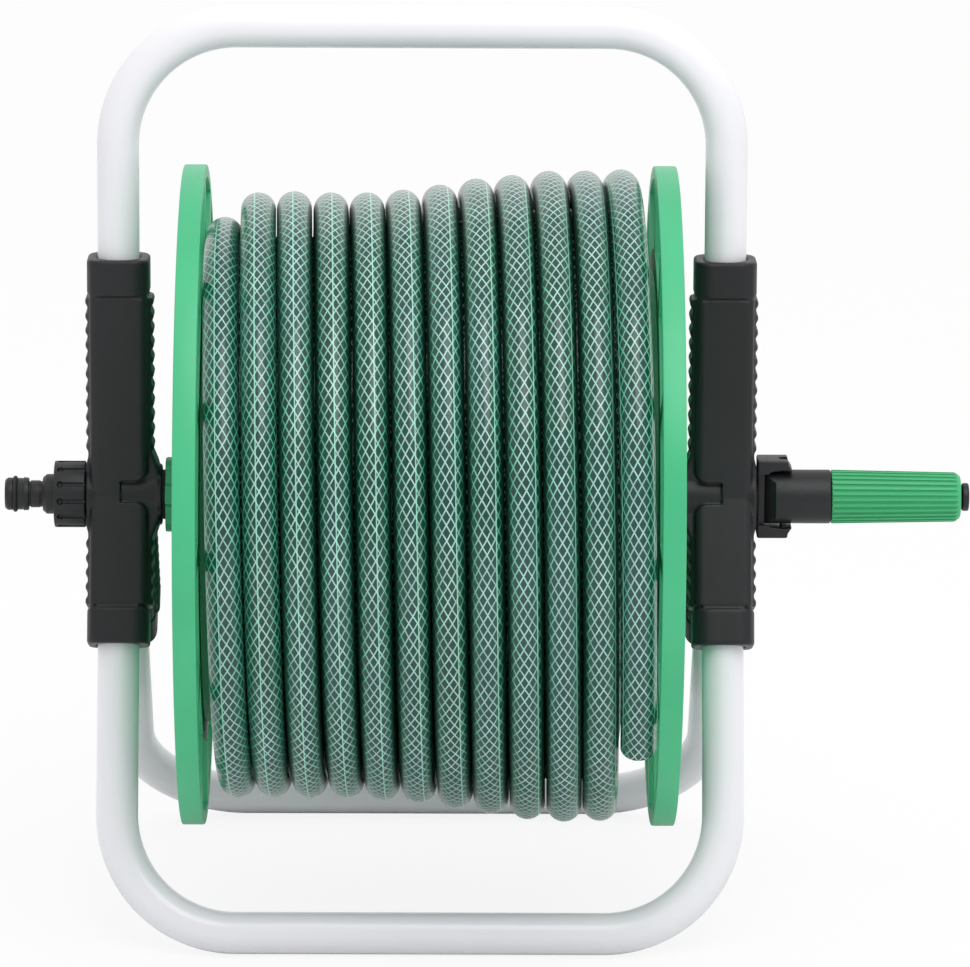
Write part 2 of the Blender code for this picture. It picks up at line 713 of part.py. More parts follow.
def right_flange():
    """Make the flange whose hub is driven by the winding handle."""
    top = HUB_END_X - RIGHT_FACE_X
    hub = [(top, 0.0), (top, RIGHT_HUB_RADIUS), (WEB_THICKNESS, RIGHT_HUB_RADIUS + 0.0010)]
    inside = [(0.0, RIGHT_HUB_RADIUS + 0.0010), (-RIGHT_HUB_DEPTH, RIGHT_HUB_RADIUS), (-RIGHT_HUB_DEPTH, 0.0)]
    profile = rim_profile(hub) + inside
    flange = turned(
        "right_flange", profile, "green_plastic", on_axle(RIGHT_FACE_X), (1.0, 0.0, 0.0), FLANGE_STEPS
    )
    finish_flange(flange, 1, RIGHT_FACE_X, RIGHT_HUB_RADIUS)
    hex_end = DRIVE_HEX_END_X - FIT_GAP
    socket = rod(
        "right_flange_hex", on_axle(hex_end), on_axle(HUB_END_X + CUT_PAST), DRIVE_HEX_RADIUS + HEX_GAP, steps=6
    )
    cut(flange, socket)
    pilot = rod(
        "right_flange_pilot",
        on_axle(RIGHT_FACE_X - RIGHT_HUB_DEPTH - CUT_PAST),
        on_axle(HUB_END_X),
        AXLE_SCREW_RADIUS + FIT_GAP,
        steps=SMALL_STEPS,
    )
    cut(flange, pilot)
    return merge_flats(flange)


def drum_barrel():
    """Make the barrel that the hose is wound on, with the hole that lets the hose in."""
    left = LEFT_FACE_X + FIT_GAP
    right = RIGHT_FACE_X - FIT_GAP
    inner = BARREL_RADIUS - BARREL_WALL
    profile = [(right, BARREL_RADIUS), (left, BARREL_RADIUS), (left, inner), (right, inner)]
    barrel = turned(
        "drum_barrel", profile, "green_plastic", on_axle(0.0), (1.0, 0.0, 0.0), FLANGE_STEPS, ring=True
    )
    hole = rod(
        "barrel_hose_hole",
        on_axle(SPOUT_X, BARREL_RADIUS * 0.8, TAIL_ANGLE),
        on_axle(SPOUT_X, BARREL_RADIUS * 1.2, TAIL_ANGLE),
        HOSE_RADIUS + 0.0010,
        steps=SMALL_STEPS,
    )
    cut(barrel, hole)
    return merge_flats(barrel)


def smooth_step(value):
    """Ease from 0 to 1 as the value runs from 0 to 1."""
    value = min(1.0, max(0.0, value))
    return value * value * (3.0 - 2.0 * value)


def layer_radius(x):
    """Return the outer layer's centre radius, which grows over a bulge in the layers below."""
    offset = x - DRUM_OFFSET
    return UPPER_LAYER_RADIUS + HOSE_BULGE * smooth_step((offset - HOSE_BULGE_START) / HOSE_BULGE_WIDTH)


def hose_point(angle):
    """Return a point of the outer layer, at an angle counted on from the first front pass."""
    x = max(LEFT_TURN_LIMIT, FIRST_TURN_X + HOSE_PITCH * angle / math.tau)
    climbed = smooth_step((angle - HOSE_CLIMB_START) / (HOSE_CLIMB_END - HOSE_CLIMB_START))
    radius = LOWER_LAYER_RADIUS + (layer_radius(x) - LOWER_LAYER_RADIUS) * climbed
    return on_axle(x, radius, angle)


def hose_route():
    """Return the outer layer's points, with both ends run out straight by one diameter."""
    last = (HOSE_TURNS - 1) * math.tau + HOSE_END_ANGLE
    count = round((last - HOSE_START_ANGLE) / math.tau * HOSE_POINTS_PER_TURN)
    step = (last - HOSE_START_ANGLE) / count
    points = [hose_point(HOSE_START_ANGLE + step * index) for index in range(count + 1)]
    first_way = (points[0] - points[1]).normalized()
    last_way = (points[-1] - points[-2]).normalized()
    return [points[0] + first_way * HOSE_DIAMETER] + points + [points[-1] + last_way * HOSE_DIAMETER]


def least_gap(points):
    """Measure the least gap between turns of the hose, from point to point."""
    places = np.array([tuple(point) for point in points])
    half_turn = HOSE_POINTS_PER_TURN // 2
    least = math.inf
    for index in range(len(places) - half_turn):
        distances = np.linalg.norm(places[index + half_turn:] - places[index], axis=1)
        least = min(least, float(distances.min()))
    return least - HOSE_DIAMETER


def swept_hose(name, points, finish):
    """Sweep the hose's round section along a route."""
    curve = bpy.data.curves.new(name, "CURVE")
    curve.dimensions = "3D"
    curve.bevel_depth = HOSE_RADIUS
    curve.bevel_resolution = 1
    curve.use_fill_caps = True
    add_spline(curve, points)
    return mesh_from_curve(name, curve, finish, Matrix.Identity(4))


def lower_turn_route(start, way):
    """Return the route of the lower layer's last turn, back from the outer layer's start."""
    first = start + way * FIT_GAP
    points = [first, first + way * HOSE_RADIUS]
    lead = (HOSE_DIAMETER + HOSE_RADIUS) / LOWER_LAYER_RADIUS
    step = math.tau / HOSE_POINTS_PER_TURN
    count = round(LOWER_TURN_ANGLE / step)
    for index in range(1, count + 1):
        drift = LOWER_TURN_DRIFT * smooth_step(index / count)
        points.append(on_axle(LEFT_TURN_LIMIT + drift, LOWER_LAYER_RADIUS, HOSE_START_ANGLE - lead - step * index))
    return points


def hose_outer_layer():
    """Make the outer layer of the wound hose as one unbroken tube."""
    route = hose_route()
    print(f"hose_outer_layer least gap to itself: {least_gap(route) * 1000:.2f} mm")
    return swept_hose("hose_outer_layer", route, "green_hose")


def hose_core():
    """Make the inner layers as one solid, with the lower turn that climbs to the outer layer."""
    first = LEFT_TURN_LIMIT + HOSE_RADIUS + 2 * FIT_GAP
    last = RIGHT_FACE_X - FIT_GAP
    count = 3
    outer = []
    for index in range(count + 1):
        x = last + (first - last) * index / count
        radius = layer_radius(x - HOSE_PITCH / 2) * CHORD_FACTOR - HOSE_RADIUS - 2 * FIT_GAP
        outer.append((x, radius))
    inner = BARREL_RADIUS + FIT_GAP
    profile = outer + [(first, inner), (last, inner)]
    core = turned(
        "hose_core", profile, "green_hose", on_axle(0.0), (1.0, 0.0, 0.0), FLANGE_STEPS, ring=True
    )
    route = hose_route()
    way = (route[0] - route[1]).normalized()
    join(core, swept_hose("lower_turn", lower_turn_route(route[0], way), None))
    return merge_flats(core)


INLET_FACE_X = -BRACKET_OUTER_X - FIT_GAP
INLET_THREAD_X = INLET_FACE_X - INLET_THREAD_LENGTH
WASHER_X = INLET_THREAD_X - FIT_GAP - WASHER_THICKNESS
NIPPLE_FLANGE_X = WASHER_X - FIT_GAP - NIPPLE_FLANGE_LENGTH
CLIP_X = -BOSS_INNER_X + FIT_GAP
SHAFT_END_X = -BOSS_INNER_X + SHAFT_INNER_LENGTH
COLLAR_OUTER_X = CLIP_X + CLIP_THICKNESS + RUNNING_GAP
COLLAR_INNER_X = LEFT_FACE_X - WEB_THICKNESS - FIT_GAP
ELBOW_OUTER_X = COLLAR_OUTER_X + 0.0010
ELBOW_INNER_X = ELBOW_OUTER_X + ELBOW_LENGTH
BUSH_INNER_RADIUS = bore_radius(SHAFT_RADIUS, RUNNING_GAP, INNER_STEPS)
BUSH_RADIUS = BUSH_INNER_RADIUS + BUSH_WALL
SEAL_BORE = bore_radius(SHAFT_RADIUS + RING_SECTION * SEAL_SECTION_SHARE, steps=INNER_STEPS)
SPOUT_X = ELBOW_INNER_X - ELBOW_END_WALL - SPOUT_RADIUS - 0.0010
TAIL_ANGLE = math.radians(-90.0)
DRIVE_HEX_END_X = HUB_END_X - DRIVE_HEX_LENGTH
SEAL_POSITIONS = (SHAFT_END_X - 0.0050, SHAFT_END_X - 0.0100)


def seal_grooves(low_x, high_x):
    """Return the shaft's outer profile from high to low X, with a groove for each seal."""
    floor = SHAFT_RADIUS - RING_SECTION * SEAL_GROOVE_DEPTH
    half = RING_SECTION * 1.2
    points = [(high_x, SHAFT_RADIUS)]
    for x in sorted(SEAL_POSITIONS, reverse=True):
        points += [(x + half, SHAFT_RADIUS), (x + half, floor), (x - half, floor), (x - half, SHAFT_RADIUS)]
    clip_low = CLIP_X - FIT_GAP / 2
    clip_high = CLIP_X + CLIP_THICKNESS + FIT_GAP / 2
    clip_floor = SHAFT_RADIUS - CLIP_GROOVE_DEPTH
    points += [(clip_high, SHAFT_RADIUS), (clip_high, clip_floor), (clip_low, clip_floor)]
    points += [(clip_low, SHAFT_RADIUS), (low_x, SHAFT_RADIUS)]
    return points


def inlet_shaft():
    """Make the hollow axle that the drum turns on, with the inlet thread at its end."""
    outer = seal_grooves(INLET_FACE_X, SHAFT_END_X)
    outer += [(INLET_FACE_X, INLET_THREAD_RADIUS), (INLET_THREAD_X, INLET_THREAD_RADIUS)]
    inner = [(INLET_THREAD_X, SHAFT_BORE), (SHAFT_END_X, SHAFT_BORE)]
    return turned(
        "inlet_shaft", outer + inner, "black_plastic", on_axle(0.0), (1.0, 0.0, 0.0), INNER_STEPS, ring=True
    )


def torus(name, x, centre_radius, section, finish):
    """Make a round-section ring about the axle."""
    profile = arc((0.0, centre_radius), section, math.pi / 2, math.pi * 2.5, 5)[:-1]
    return turned(name, profile, finish, on_axle(x), (1.0, 0.0, 0.0), steps=RING_STEPS, ring=True)


def shaft_clip():
    """Make the retaining clip that keeps the inlet shaft in the left bracket."""
    inner = bore_radius(SHAFT_RADIUS - CLIP_GROOVE_DEPTH, FIT_GAP / 2)
    high = CLIP_X + CLIP_THICKNESS
    profile = [(high, CLIP_RADIUS), (CLIP_X, CLIP_RADIUS), (CLIP_X, inner), (high, inner)]
    clip = turned("shaft_clip", profile, "zinc_steel", on_axle(0.0), (1.0, 0.0, 0.0), ring=True)
    gap = box("shaft_clip_gap", (0.0, 0.0, -CLIP_RADIUS), (0.01, 0.0060, CLIP_RADIUS * 2), None,
              Matrix.Translation(on_axle(CLIP_X)))
    cut(clip, gap)
    return clip


def inlet_washer():
    """Make the flat sealing washer between the shaft and the nipple."""
    high = WASHER_X + WASHER_THICKNESS
    profile = [
        (high, NIPPLE_FLANGE_RADIUS),
        (WASHER_X, NIPPLE_FLANGE_RADIUS),
        (WASHER_X, SHAFT_BORE),
        (high, SHAFT_BORE),
    ]
    return turned("inlet_washer", profile, "rubber", on_axle(0.0), (1.0, 0.0, 0.0), ring=True)


def inlet_nipple():
    """Make the quick-connect nipple, with its head, its neck and its captive flange."""
    flange_high = NIPPLE_FLANGE_X + NIPPLE_FLANGE_LENGTH
    neck = NIPPLE_NECK_RADIUS
    head = NIPPLE_HEAD_RADIUS
    neck_x = NUT_END_X - NIPPLE_NECK_LENGTH
    end_x = neck_x - NIPPLE_HEAD_LENGTH
    ring_x = end_x + NIPPLE_RING_SETBACK
    groove = RING_SECTION * 1.1
    profile = [
        (flange_high, NIPPLE_FLANGE_RADIUS),
        (NIPPLE_FLANGE_X, NIPPLE_FLANGE_RADIUS),
        (NIPPLE_FLANGE_X, neck),
        (neck_x, neck),
        (neck_x, head),
        (neck_x - 0.0018, head),
        (neck_x - 0.0024, head - 0.0009),
        (ring_x + groove + 0.0011, head - 0.0009),
        (ring_x + groove + 0.0005, head),
        (ring_x + groove, head),
        (ring_x + groove, head - NIPPLE_RING_DEPTH),
        (ring_x - groove, head - NIPPLE_RING_DEPTH),
        (ring_x - groove, head),
        (end_x + 0.0012, head),
        (end_x, head - 0.0009),
        (end_x, NIPPLE_BORE),
        (flange_high, NIPPLE_BORE),
    ]
    return turned("inlet_nipple", profile, "black_plastic", on_axle(0.0), (1.0, 0.0, 0.0), INNER_STEPS, ring=True)


def nut_outline():
    """Return the nut's grooved outline round its axis."""
    points = []
    step = math.tau / NUT_GROOVES
    for index in range(NUT_GROOVES):
        land_end = (1.0 - NUT_GROOVE_SHARE) / 2
        for share, radius in ((-land_end, NUT_RADIUS), (land_end, NUT_RADIUS), (0.5, NUT_RADIUS - NUT_GROOVE_DEPTH)):
            angle = step * (index + share)
            points.append((radius * math.cos(angle), radius * math.sin(angle)))
    return points


NUT_X = INLET_FACE_X - NUT_LENGTH
NUT_END_X = NUT_X - NUT_NECK_LENGTH - NUT_TAPER_LENGTH


def inlet_nut():
    """Make the hand nut that holds the nipple on the inlet thread."""
    middle = on_axle(INLET_FACE_X - NUT_LENGTH / 2)
    nut = outline_slab("inlet_nut", [nut_outline()], NUT_LENGTH / 2, "black_plastic",
                       placed(middle, (1.0, 0.0, 0.0)))
    neck = [
        (NUT_X + 0.0020, 0.0),
        (NUT_X + 0.0020, NUT_NECK_RADIUS),
        (NUT_X - NUT_NECK_LENGTH, NUT_NECK_RADIUS),
        (NUT_END_X, NIPPLE_NECK_RADIUS + 0.0012),
        (NUT_END_X, 0.0),
    ]
    join(nut, turned("inlet_nut_neck", neck, None, on_axle(0.0), (1.0, 0.0, 0.0)))
    cavity = rod("inlet_nut_cavity", on_axle(NIPPLE_FLANGE_X - FIT_GAP), on_axle(INLET_FACE_X + CUT_PAST),
                 bore_radius(INLET_THREAD_RADIUS))
    cut(nut, cavity)
    hole = rod("inlet_nut_hole", on_axle(NUT_END_X - CUT_PAST), on_axle(NUT_X + 2 * CUT_PAST),
               bore_radius(NIPPLE_NECK_RADIUS))
    cut(nut, hole)
    return merge_flats(nut)


def left_bush():
    """Make the bush between the outlet elbow and the inlet shaft."""
    outer = ELBOW_OUTER_X - FIT_GAP
    profile = [
        (ELBOW_OUTER_X + BUSH_LENGTH, BUSH_RADIUS),
        (outer, BUSH_RADIUS),
        (outer, BUSH_FLANGE_RADIUS),
        (outer - BUSH_FLANGE_THICKNESS / 2, BUSH_FLANGE_RADIUS),
        (outer - BUSH_FLANGE_THICKNESS / 2, BUSH_INNER_RADIUS),
        (ELBOW_OUTER_X + BUSH_LENGTH, BUSH_INNER_RADIUS),
    ]
    return turned("left_bush", profile, "acetal", on_axle(0.0), (1.0, 0.0, 0.0), INNER_STEPS, ring=True)


def right_bush():
    """Make the bush that carries the fork's axle in the right bracket."""
    low = BOSS_INNER_X + FIT_GAP
    high = BRACKET_OUTER_X - FIT_GAP
    profile = [(high, BUSH_RADIUS), (low, BUSH_RADIUS), (low, BUSH_INNER_RADIUS), (high, BUSH_INNER_RADIUS)]
    return turned("right_bush", profile, "acetal", on_axle(0.0), (1.0, 0.0, 0.0), INNER_STEPS, ring=True)


def collar_outline():
    """Return the collar's six-lobed outline round its axis."""
    points = []
    step = math.tau / HUB_COLLAR_LOBES
    half = HUB_COLLAR_LOBE_SHARE / 2
    for index in range(HUB_COLLAR_LOBES):
        lobe = ((-half, HUB_COLLAR_RADIUS), (half, HUB_COLLAR_RADIUS),
                (half * 1.5, HUB_COLLAR_BASE_RADIUS), (1.0 - half * 1.5, HUB_COLLAR_BASE_RADIUS))
        for share, radius in lobe:
            angle = step * (index + share) + HUB_COLLAR_TURN
            points.append((-radius * math.sin(angle), -radius * math.cos(angle)))
    return points


def hub_collar():
    """Make the lobed collar that clamps the left flange on the outlet elbow."""
    middle = (COLLAR_OUTER_X + COLLAR_INNER_X) / 2
    upright = Matrix.Translation(on_axle(middle)) @ Matrix.Rotation(math.pi / 2, 4, "Y")
    collar = outline_slab("hub_collar", [collar_outline()], (COLLAR_INNER_X - COLLAR_OUTER_X) / 2, "green_plastic",
                          upright, HUB_COLLAR_ROUNDING)
    cut(collar, rod("hub_collar_bore", on_axle(COLLAR_OUTER_X - CUT_PAST), on_axle(COLLAR_INNER_X + CUT_PAST),
                    bore_radius(ELBOW_RADIUS)))
    return merge_flats(collar)


def outlet_elbow():
    """Make the elbow that turns with the drum and leads the water into the hose."""
    shoulder_low = LEFT_FACE_X + FIT_GAP
    shoulder_high = shoulder_low + ELBOW_SHOULDER_THICKNESS
    bush_end = ELBOW_OUTER_X + BUSH_LENGTH + FIT_GAP
    bottom = ELBOW_INNER_X - ELBOW_END_WALL
    profile = [
        (ELBOW_INNER_X, 0.0),
        (ELBOW_INNER_X, ELBOW_RADIUS - 0.0010),
        (ELBOW_INNER_X - 0.0010, ELBOW_RADIUS),
        (shoulder_high, ELBOW_RADIUS),
        (shoulder_high, ELBOW_SHOULDER_RADIUS),
        (shoulder_low, ELBOW_SHOULDER_RADIUS),
        (shoulder_low, ELBOW_RADIUS),
        (ELBOW_OUTER_X, ELBOW_RADIUS),
        (ELBOW_OUTER_X, bore_radius(BUSH_RADIUS, steps=INNER_STEPS)),
        (bush_end, bore_radius(BUSH_RADIUS, steps=INNER_STEPS)),
        (bush_end, SEAL_BORE),
        (bottom, SEAL_BORE),
        (bottom, 0.0),
    ]
    elbow = turned("outlet_elbow", profile, "black_plastic", on_axle(0.0), (1.0, 0.0, 0.0), steps=INNER_STEPS)
    spout = spout_profile()
    join(elbow, turned("elbow_spout", spout, None, on_axle(SPOUT_X), spout_way(), steps=SMALL_STEPS))
    bore_start = on_axle(SPOUT_X)
    bore_end = bore_start + spout_way() * (ELBOW_RADIUS + SPOUT_LENGTH + CUT_PAST)
    cut(elbow, rod("elbow_spout_bore", bore_start, bore_end, SPOUT_BORE, steps=SMALL_STEPS))
    return merge_flats(elbow)


def spout_way():
    """Return the direction of the elbow's spout, out from the axle."""
    return (on_axle(0.0, 1.0, TAIL_ANGLE) - on_axle(0.0)).normalized()


def spout_profile():
    """Return the barbed spout's profile, from its tip down into the elbow."""
    top = ELBOW_RADIUS + SPOUT_LENGTH
    spacing = SPOUT_LENGTH * 0.16
    points = [(top, 0.0), (top, SPOUT_RADIUS - BARB_HEIGHT)]
    for index in range(BARB_COUNT):
        base = top - spacing * (index + 1)
        points += [(base + 0.0006, SPOUT_RADIUS + BARB_HEIGHT), (base, SPOUT_RADIUS)]
    inside = ELBOW_RADIUS - 0.0025
    return points + [(inside, SPOUT_RADIUS), (inside, 0.0)]


def hose_tail():
    """Make the end of the hose that is pushed over the elbow's spout."""
    start = ELBOW_RADIUS + TAIL_START
    end = (BARREL_RADIUS - FIT_GAP) * math.cos(math.pi / FLANGE_STEPS)
    bore = HOSE_BORE / 2 + 0.0002
    profile = [(end, HOSE_RADIUS), (start, HOSE_RADIUS), (start, bore), (end, bore)]
    return turned("hose_tail", profile, "green_hose", on_axle(SPOUT_X), spout_way(), SMALL_STEPS, ring=True)


def hose_clamp():
    """Make the band and housing of the clamp round the hose's end."""
    middle = ELBOW_RADIUS + TAIL_START + CLAMP_WIDTH
    inner = bore_radius(HOSE_RADIUS, steps=SMALL_STEPS)
    outer = inner + CLAMP_THICKNESS
    half = CLAMP_WIDTH / 2
    profile = [(middle + half, outer), (middle - half, outer), (middle - half, inner), (middle + half, inner)]
    clamp = turned("hose_clamp", profile, "zinc_steel", on_axle(SPOUT_X), spout_way(), SMALL_STEPS, ring=True)
    housing = box("hose_clamp_housing", (0.0, outer + 0.0017, middle), (0.0110, 0.0040, CLAMP_WIDTH * 0.9), None,
                  placed(on_axle(SPOUT_X), spout_way()))
    join(clamp, housing)
    return clamp


def handle_fork():
    """Make the fork that carries the winding handle, with its axle and hexagonal drive end."""
    outer_z = HANDLE_RADIUS + FIT_GAP + FORK_EAR_THICKNESS
    inner_z = HANDLE_RADIUS + FIT_GAP
    web_x = FORK_X + FORK_WEB_THICKNESS
    tip_x = FORK_X + FORK_EAR_REACH
    outline = [
        (FORK_X, -outer_z),
        (tip_x - FORK_EAR_SLANT, -outer_z),
        (tip_x, -inner_z),
        (web_x, -inner_z),
        (web_x, inner_z),
        (tip_x, inner_z),
        (tip_x - FORK_EAR_SLANT, outer_z),
        (FORK_X, outer_z),
    ]
    upright = Matrix.Translation(on_axle(0.0)) @ Matrix.Rotation(math.pi / 2, 4, "X")
    fork = outline_slab("handle_fork", [outline], FORK_WIDTH / 2, "black_plastic", upright, 0.0005)
    axle = rod("fork_axle", on_axle(HUB_END_X + FIT_GAP), on_axle(FORK_X + FORK_WEB_THICKNESS / 2), SHAFT_RADIUS,
               steps=INNER_STEPS)
    join(fork, axle)
    drive_high = on_axle(HUB_END_X + DRIVE_HEX_OVERLAP)
    join(fork, rod("fork_drive", on_axle(DRIVE_HEX_END_X), drive_high, DRIVE_HEX_RADIUS, steps=6))
    cut(fork, rod("fork_screw_bore", on_axle(DRIVE_HEX_END_X - CUT_PAST), on_axle(web_x + CUT_PAST),
                  AXLE_SCREW_RADIUS + FIT_GAP, steps=SMALL_STEPS))
    head_low = web_x - AXLE_SCREW_HEAD_HEIGHT - 2 * FIT_GAP
    cut(fork, rod("fork_screw_seat", on_axle(head_low), on_axle(web_x + CUT_PAST),
                  AXLE_SCREW_HEAD_RADIUS + FIT_GAP, steps=SMALL_STEPS))
    pin_line = on_axle(FORK_PIN_X)
    rise = Vector((0.0, 0.0, outer_z + CUT_PAST))
    cut(fork, rod("fork_pin_holes", pin_line - rise, pin_line + rise,
                  bore_radius(FORK_PIN_RADIUS, steps=SMALL_STEPS), steps=SMALL_STEPS))
    return merge_flats(fork)


def axle_screw():
    """Make the long screw that holds the fork's axle in the right hub."""
    web_x = FORK_X + FORK_WEB_THICKNESS
    head_high = web_x - FIT_GAP
    head_low = head_high - AXLE_SCREW_HEAD_HEIGHT
    tip = RIGHT_FACE_X - RIGHT_HUB_DEPTH + 0.0010
    profile = [
        (head_high, 0.0),
        (head_high, AXLE_SCREW_HEAD_RADIUS * 0.8),
        (head_high - 0.0006, AXLE_SCREW_HEAD_RADIUS),
        (head_low, AXLE_SCREW_HEAD_RADIUS),
        (head_low, AXLE_SCREW_RADIUS),
        (tip + 0.0020, AXLE_SCREW_RADIUS),
        (tip, 0.0),
    ]
    return turned("axle_screw", profile, "zinc_steel", on_axle(0.0), (1.0, 0.0, 0.0), steps=SMALL_STEPS)


def fork_pin():
    """Make the pin that the winding handle folds about."""
    outer_z = HANDLE_RADIUS + FIT_GAP + FORK_EAR_THICKNESS + FIT_GAP
    head = FORK_PIN_HEAD_RADIUS
    profile = [
        (outer_z + FORK_PIN_HEAD_HEIGHT, 0.0),
        (outer_z + FORK_PIN_HEAD_HEIGHT, head * 0.8),
        (outer_z, head),
        (outer_z, FORK_PIN_RADIUS),
        (-outer_z, FORK_PIN_RADIUS),
        (-outer_z, 0.0),
    ]
    return turned("fork_pin", profile, "zinc_steel", on_axle(FORK_PIN_X), (0.0, 0.0, 1.0), steps=SMALL_STEPS)


def handle_stem():
    """Make the stem: a round barrel that starts between the fork's ears, and the grip's spindle."""
    blank_end = FORK_PIN_X - STEM_NOSE
    barrel_end = STEM_START_X + HANDLE_BARREL_LENGTH
    profile = [
        (GRIP_END_X + GRIP_CAP_GAP, 0.0),
        (GRIP_END_X + GRIP_CAP_GAP, SPINDLE_RADIUS),
        (barrel_end, SPINDLE_RADIUS),
        (barrel_end, HANDLE_RADIUS - 0.0005),
        (barrel_end - 0.0005, HANDLE_RADIUS),
        (blank_end + 0.0005, HANDLE_RADIUS),
        (blank_end, HANDLE_RADIUS - 0.0005),
        (blank_end, 0.0),
    ]
    stem = turned("handle_stem", profile, "black_plastic", on_axle(0.0), (1.0, 0.0, 0.0))
    cut(stem, tongue_relief())
    pin_line = on_axle(FORK_PIN_X)
    rise = Vector((0.0, 0.0, HANDLE_RADIUS * 1.5))
    pin_bore = bore_radius(FORK_PIN_RADIUS, RUNNING_GAP, SMALL_STEPS)
    cut(stem, rod("stem_pin_bore", pin_line - rise, pin_line + rise, pin_bore, steps=SMALL_STEPS))
    peg = rod("stem_peg_bore", on_axle(GRIP_END_X + CUT_PAST), on_axle(GRIP_END_X - TIP_PEG_LENGTH - FIT_GAP),
              TIP_PEG_RADIUS + FIT_GAP, steps=SMALL_STEPS)
    cut(stem, peg)
    return merge_flats(stem)


def tongue_relief():
    """Make the cutter that clears the stem's rear side, which swings past the fork's web as it folds."""
    shoulder = STEM_START_X - FORK_PIN_X
    wide = HANDLE_RADIUS * 1.3
    back = -STEM_TONGUE * 1.5
    nose = arc((0.0, 0.0), STEM_TONGUE, math.pi / 2, math.pi, 8)
    outline = [(shoulder, STEM_TONGUE)] + nose + [(back, 0.0), (back, wide), (shoulder + STEM_SHOULDER_SLOPE, wide)]
    place = Matrix.Translation(on_axle(FORK_PIN_X))
    return outline_slab("stem_tongue_relief", [outline], HANDLE_RADIUS * 1.2, None, place)


def grip_ring(radius, rib):
    """Return one ribbed ring of the grip, as (y, z) points."""
    points = []
    for index in range(GRIP_RIBS):
        for share, height in ((0.0, rib), (0.5, 0.0)):
            angle = math.tau * (index + share) / GRIP_RIBS
            points.append(((radius - GRIP_RIB_HEIGHT + height) * math.cos(angle),
                           (radius - GRIP_RIB_HEIGHT + height) * math.sin(angle)))
    return points


def handle_grip():
    """Make the ribbed grip by lofting rings from its mouth to its rounded end."""
    rounding = GRIP_END_ROUNDING
    stations = [
        (GRIP_START_X, HANDLE_RADIUS - 0.0004, 0.0),
        (GRIP_START_X + 0.0008, HANDLE_RADIUS, GRIP_RIB_HEIGHT),
        (GRIP_END_X - rounding, GRIP_END_RADIUS, GRIP_RIB_HEIGHT),
        (GRIP_END_X - rounding * 0.3, GRIP_END_RADIUS - rounding * 0.25, GRIP_RIB_HEIGHT * 0.5),
        (GRIP_END_X, GRIP_END_RADIUS - rounding * 0.8, 0.0),
    ]
    shape = bmesh.new()
    rings = []
    for x, radius, rib in stations:
        rings.append([shape.verts.new((x, AXLE.y + y, AXLE.z + z)) for y, z in grip_ring(radius, rib)])
    for lower, upper in zip(rings, rings[1:]):
        for index in range(len(lower)):
            after = (index + 1) % len(lower)
            shape.faces.new((lower[index], lower[after], upper[after], upper[index]))
    shape.faces.new(rings[0][::-1])
    shape.faces.new(rings[-1])
    bmesh.ops.recalc_face_normals(shape, faces=shape.faces)
    mesh = bpy.data.meshes.new("handle_grip")
    shape.to_mesh(mesh)
    shape.free()
    finish_mesh(mesh, math.radians(25.0))
    grip = add_object("handle_grip", mesh, "green_plastic")
    grip.data.transform(Matrix.Translation(-on_axle(GRIP_START_X)))
    grip.location = on_axle(GRIP_START_X)
    bore = rod("handle_grip_bore", on_axle(GRIP_START_X - CUT_PAST), on_axle(GRIP_END_X + CUT_PAST),
               bore_radius(SPINDLE_RADIUS, RUNNING_GAP, ROUND_STEPS))
    cut(grip, bore)
    return merge_flats(grip)


def grip_cap():
    """Make the cap that keeps the grip on its spindle."""
    low = GRIP_END_X + GRIP_CAP_GAP + FIT_GAP
    profile = [
        (low + TIP_LENGTH, 0.0),
        (low + TIP_LENGTH, TIP_RADIUS - 0.0012),
        (low + TIP_LENGTH - 0.0010, TIP_RADIUS),
        (low, TIP_RADIUS),
        (low, TIP_PEG_RADIUS),
        (low - TIP_PEG_LENGTH, TIP_PEG_RADIUS),
        (low - TIP_PEG_LENGTH, 0.0),
    ]
    return turned("grip_cap", profile, "black_plastic", on_axle(0.0), (1.0, 0.0, 0.0), steps=INNER_STEPS)


def build_frame():
    """Make everything that stands still: tubes, brackets, their screws and the right bush."""
    frame_tube("handle_tube", "handle")
    frame_tube("front_foot_tube", "front_foot")
    frame_tube("rear_foot_tube", "rear_foot")
    for side, side_name in ((-1, "left"), (1, "right")):
        bracket(f"{side_name}_bracket", side)
        for arm in ARMS:
            tube_screw(f"{side_name}_{arm}_screw", arm, side)
    right_bush()


def build_inlet():
    """Make the still half of the rotating water joint and the inlet fittings."""
    inlet_shaft()
    shaft_clip()
    inlet_washer()
    inlet_nut()
    inlet_nipple()
    end_x = NUT_END_X - NIPPLE_NECK_LENGTH - NIPPLE_HEAD_LENGTH
    ring_radius = NIPPLE_HEAD_RADIUS - NIPPLE_RING_DEPTH + RING_SECTION + RING_LIFT
    torus("nipple_ring", end_x + NIPPLE_RING_SETBACK, ring_radius, RING_SECTION, "rubber")
    for index, x in enumerate(SEAL_POSITIONS):
        centre = SHAFT_RADIUS - RING_SECTION * SEAL_GROOVE_DEPTH + RING_SECTION + RING_LIFT
        torus(f"shaft_seal_{index + 1}", x, centre, RING_SECTION * SEAL_SECTION_SHARE, "rubber")


def build_drum():
    """Make the drum, its hose and the outlet elbow that turns with it."""
    left_flange()
    right_flange()
    drum_barrel()
    hub_collar()
    outlet_elbow()
    left_bush()
    hose_tail()
    hose_clamp()
    hose_core()
    hose_outer_layer()


def build_handle():
    """Make the fork on the drum and the winding handle that folds on it."""
    handle_fork()
    axle_screw()
    fork_pin()
    handle_stem()
    handle_grip()
    grip_cap()


def main():
    clear_scene()
    build_frame()
    build_inlet()
    build_drum()
    build_handle()


main()
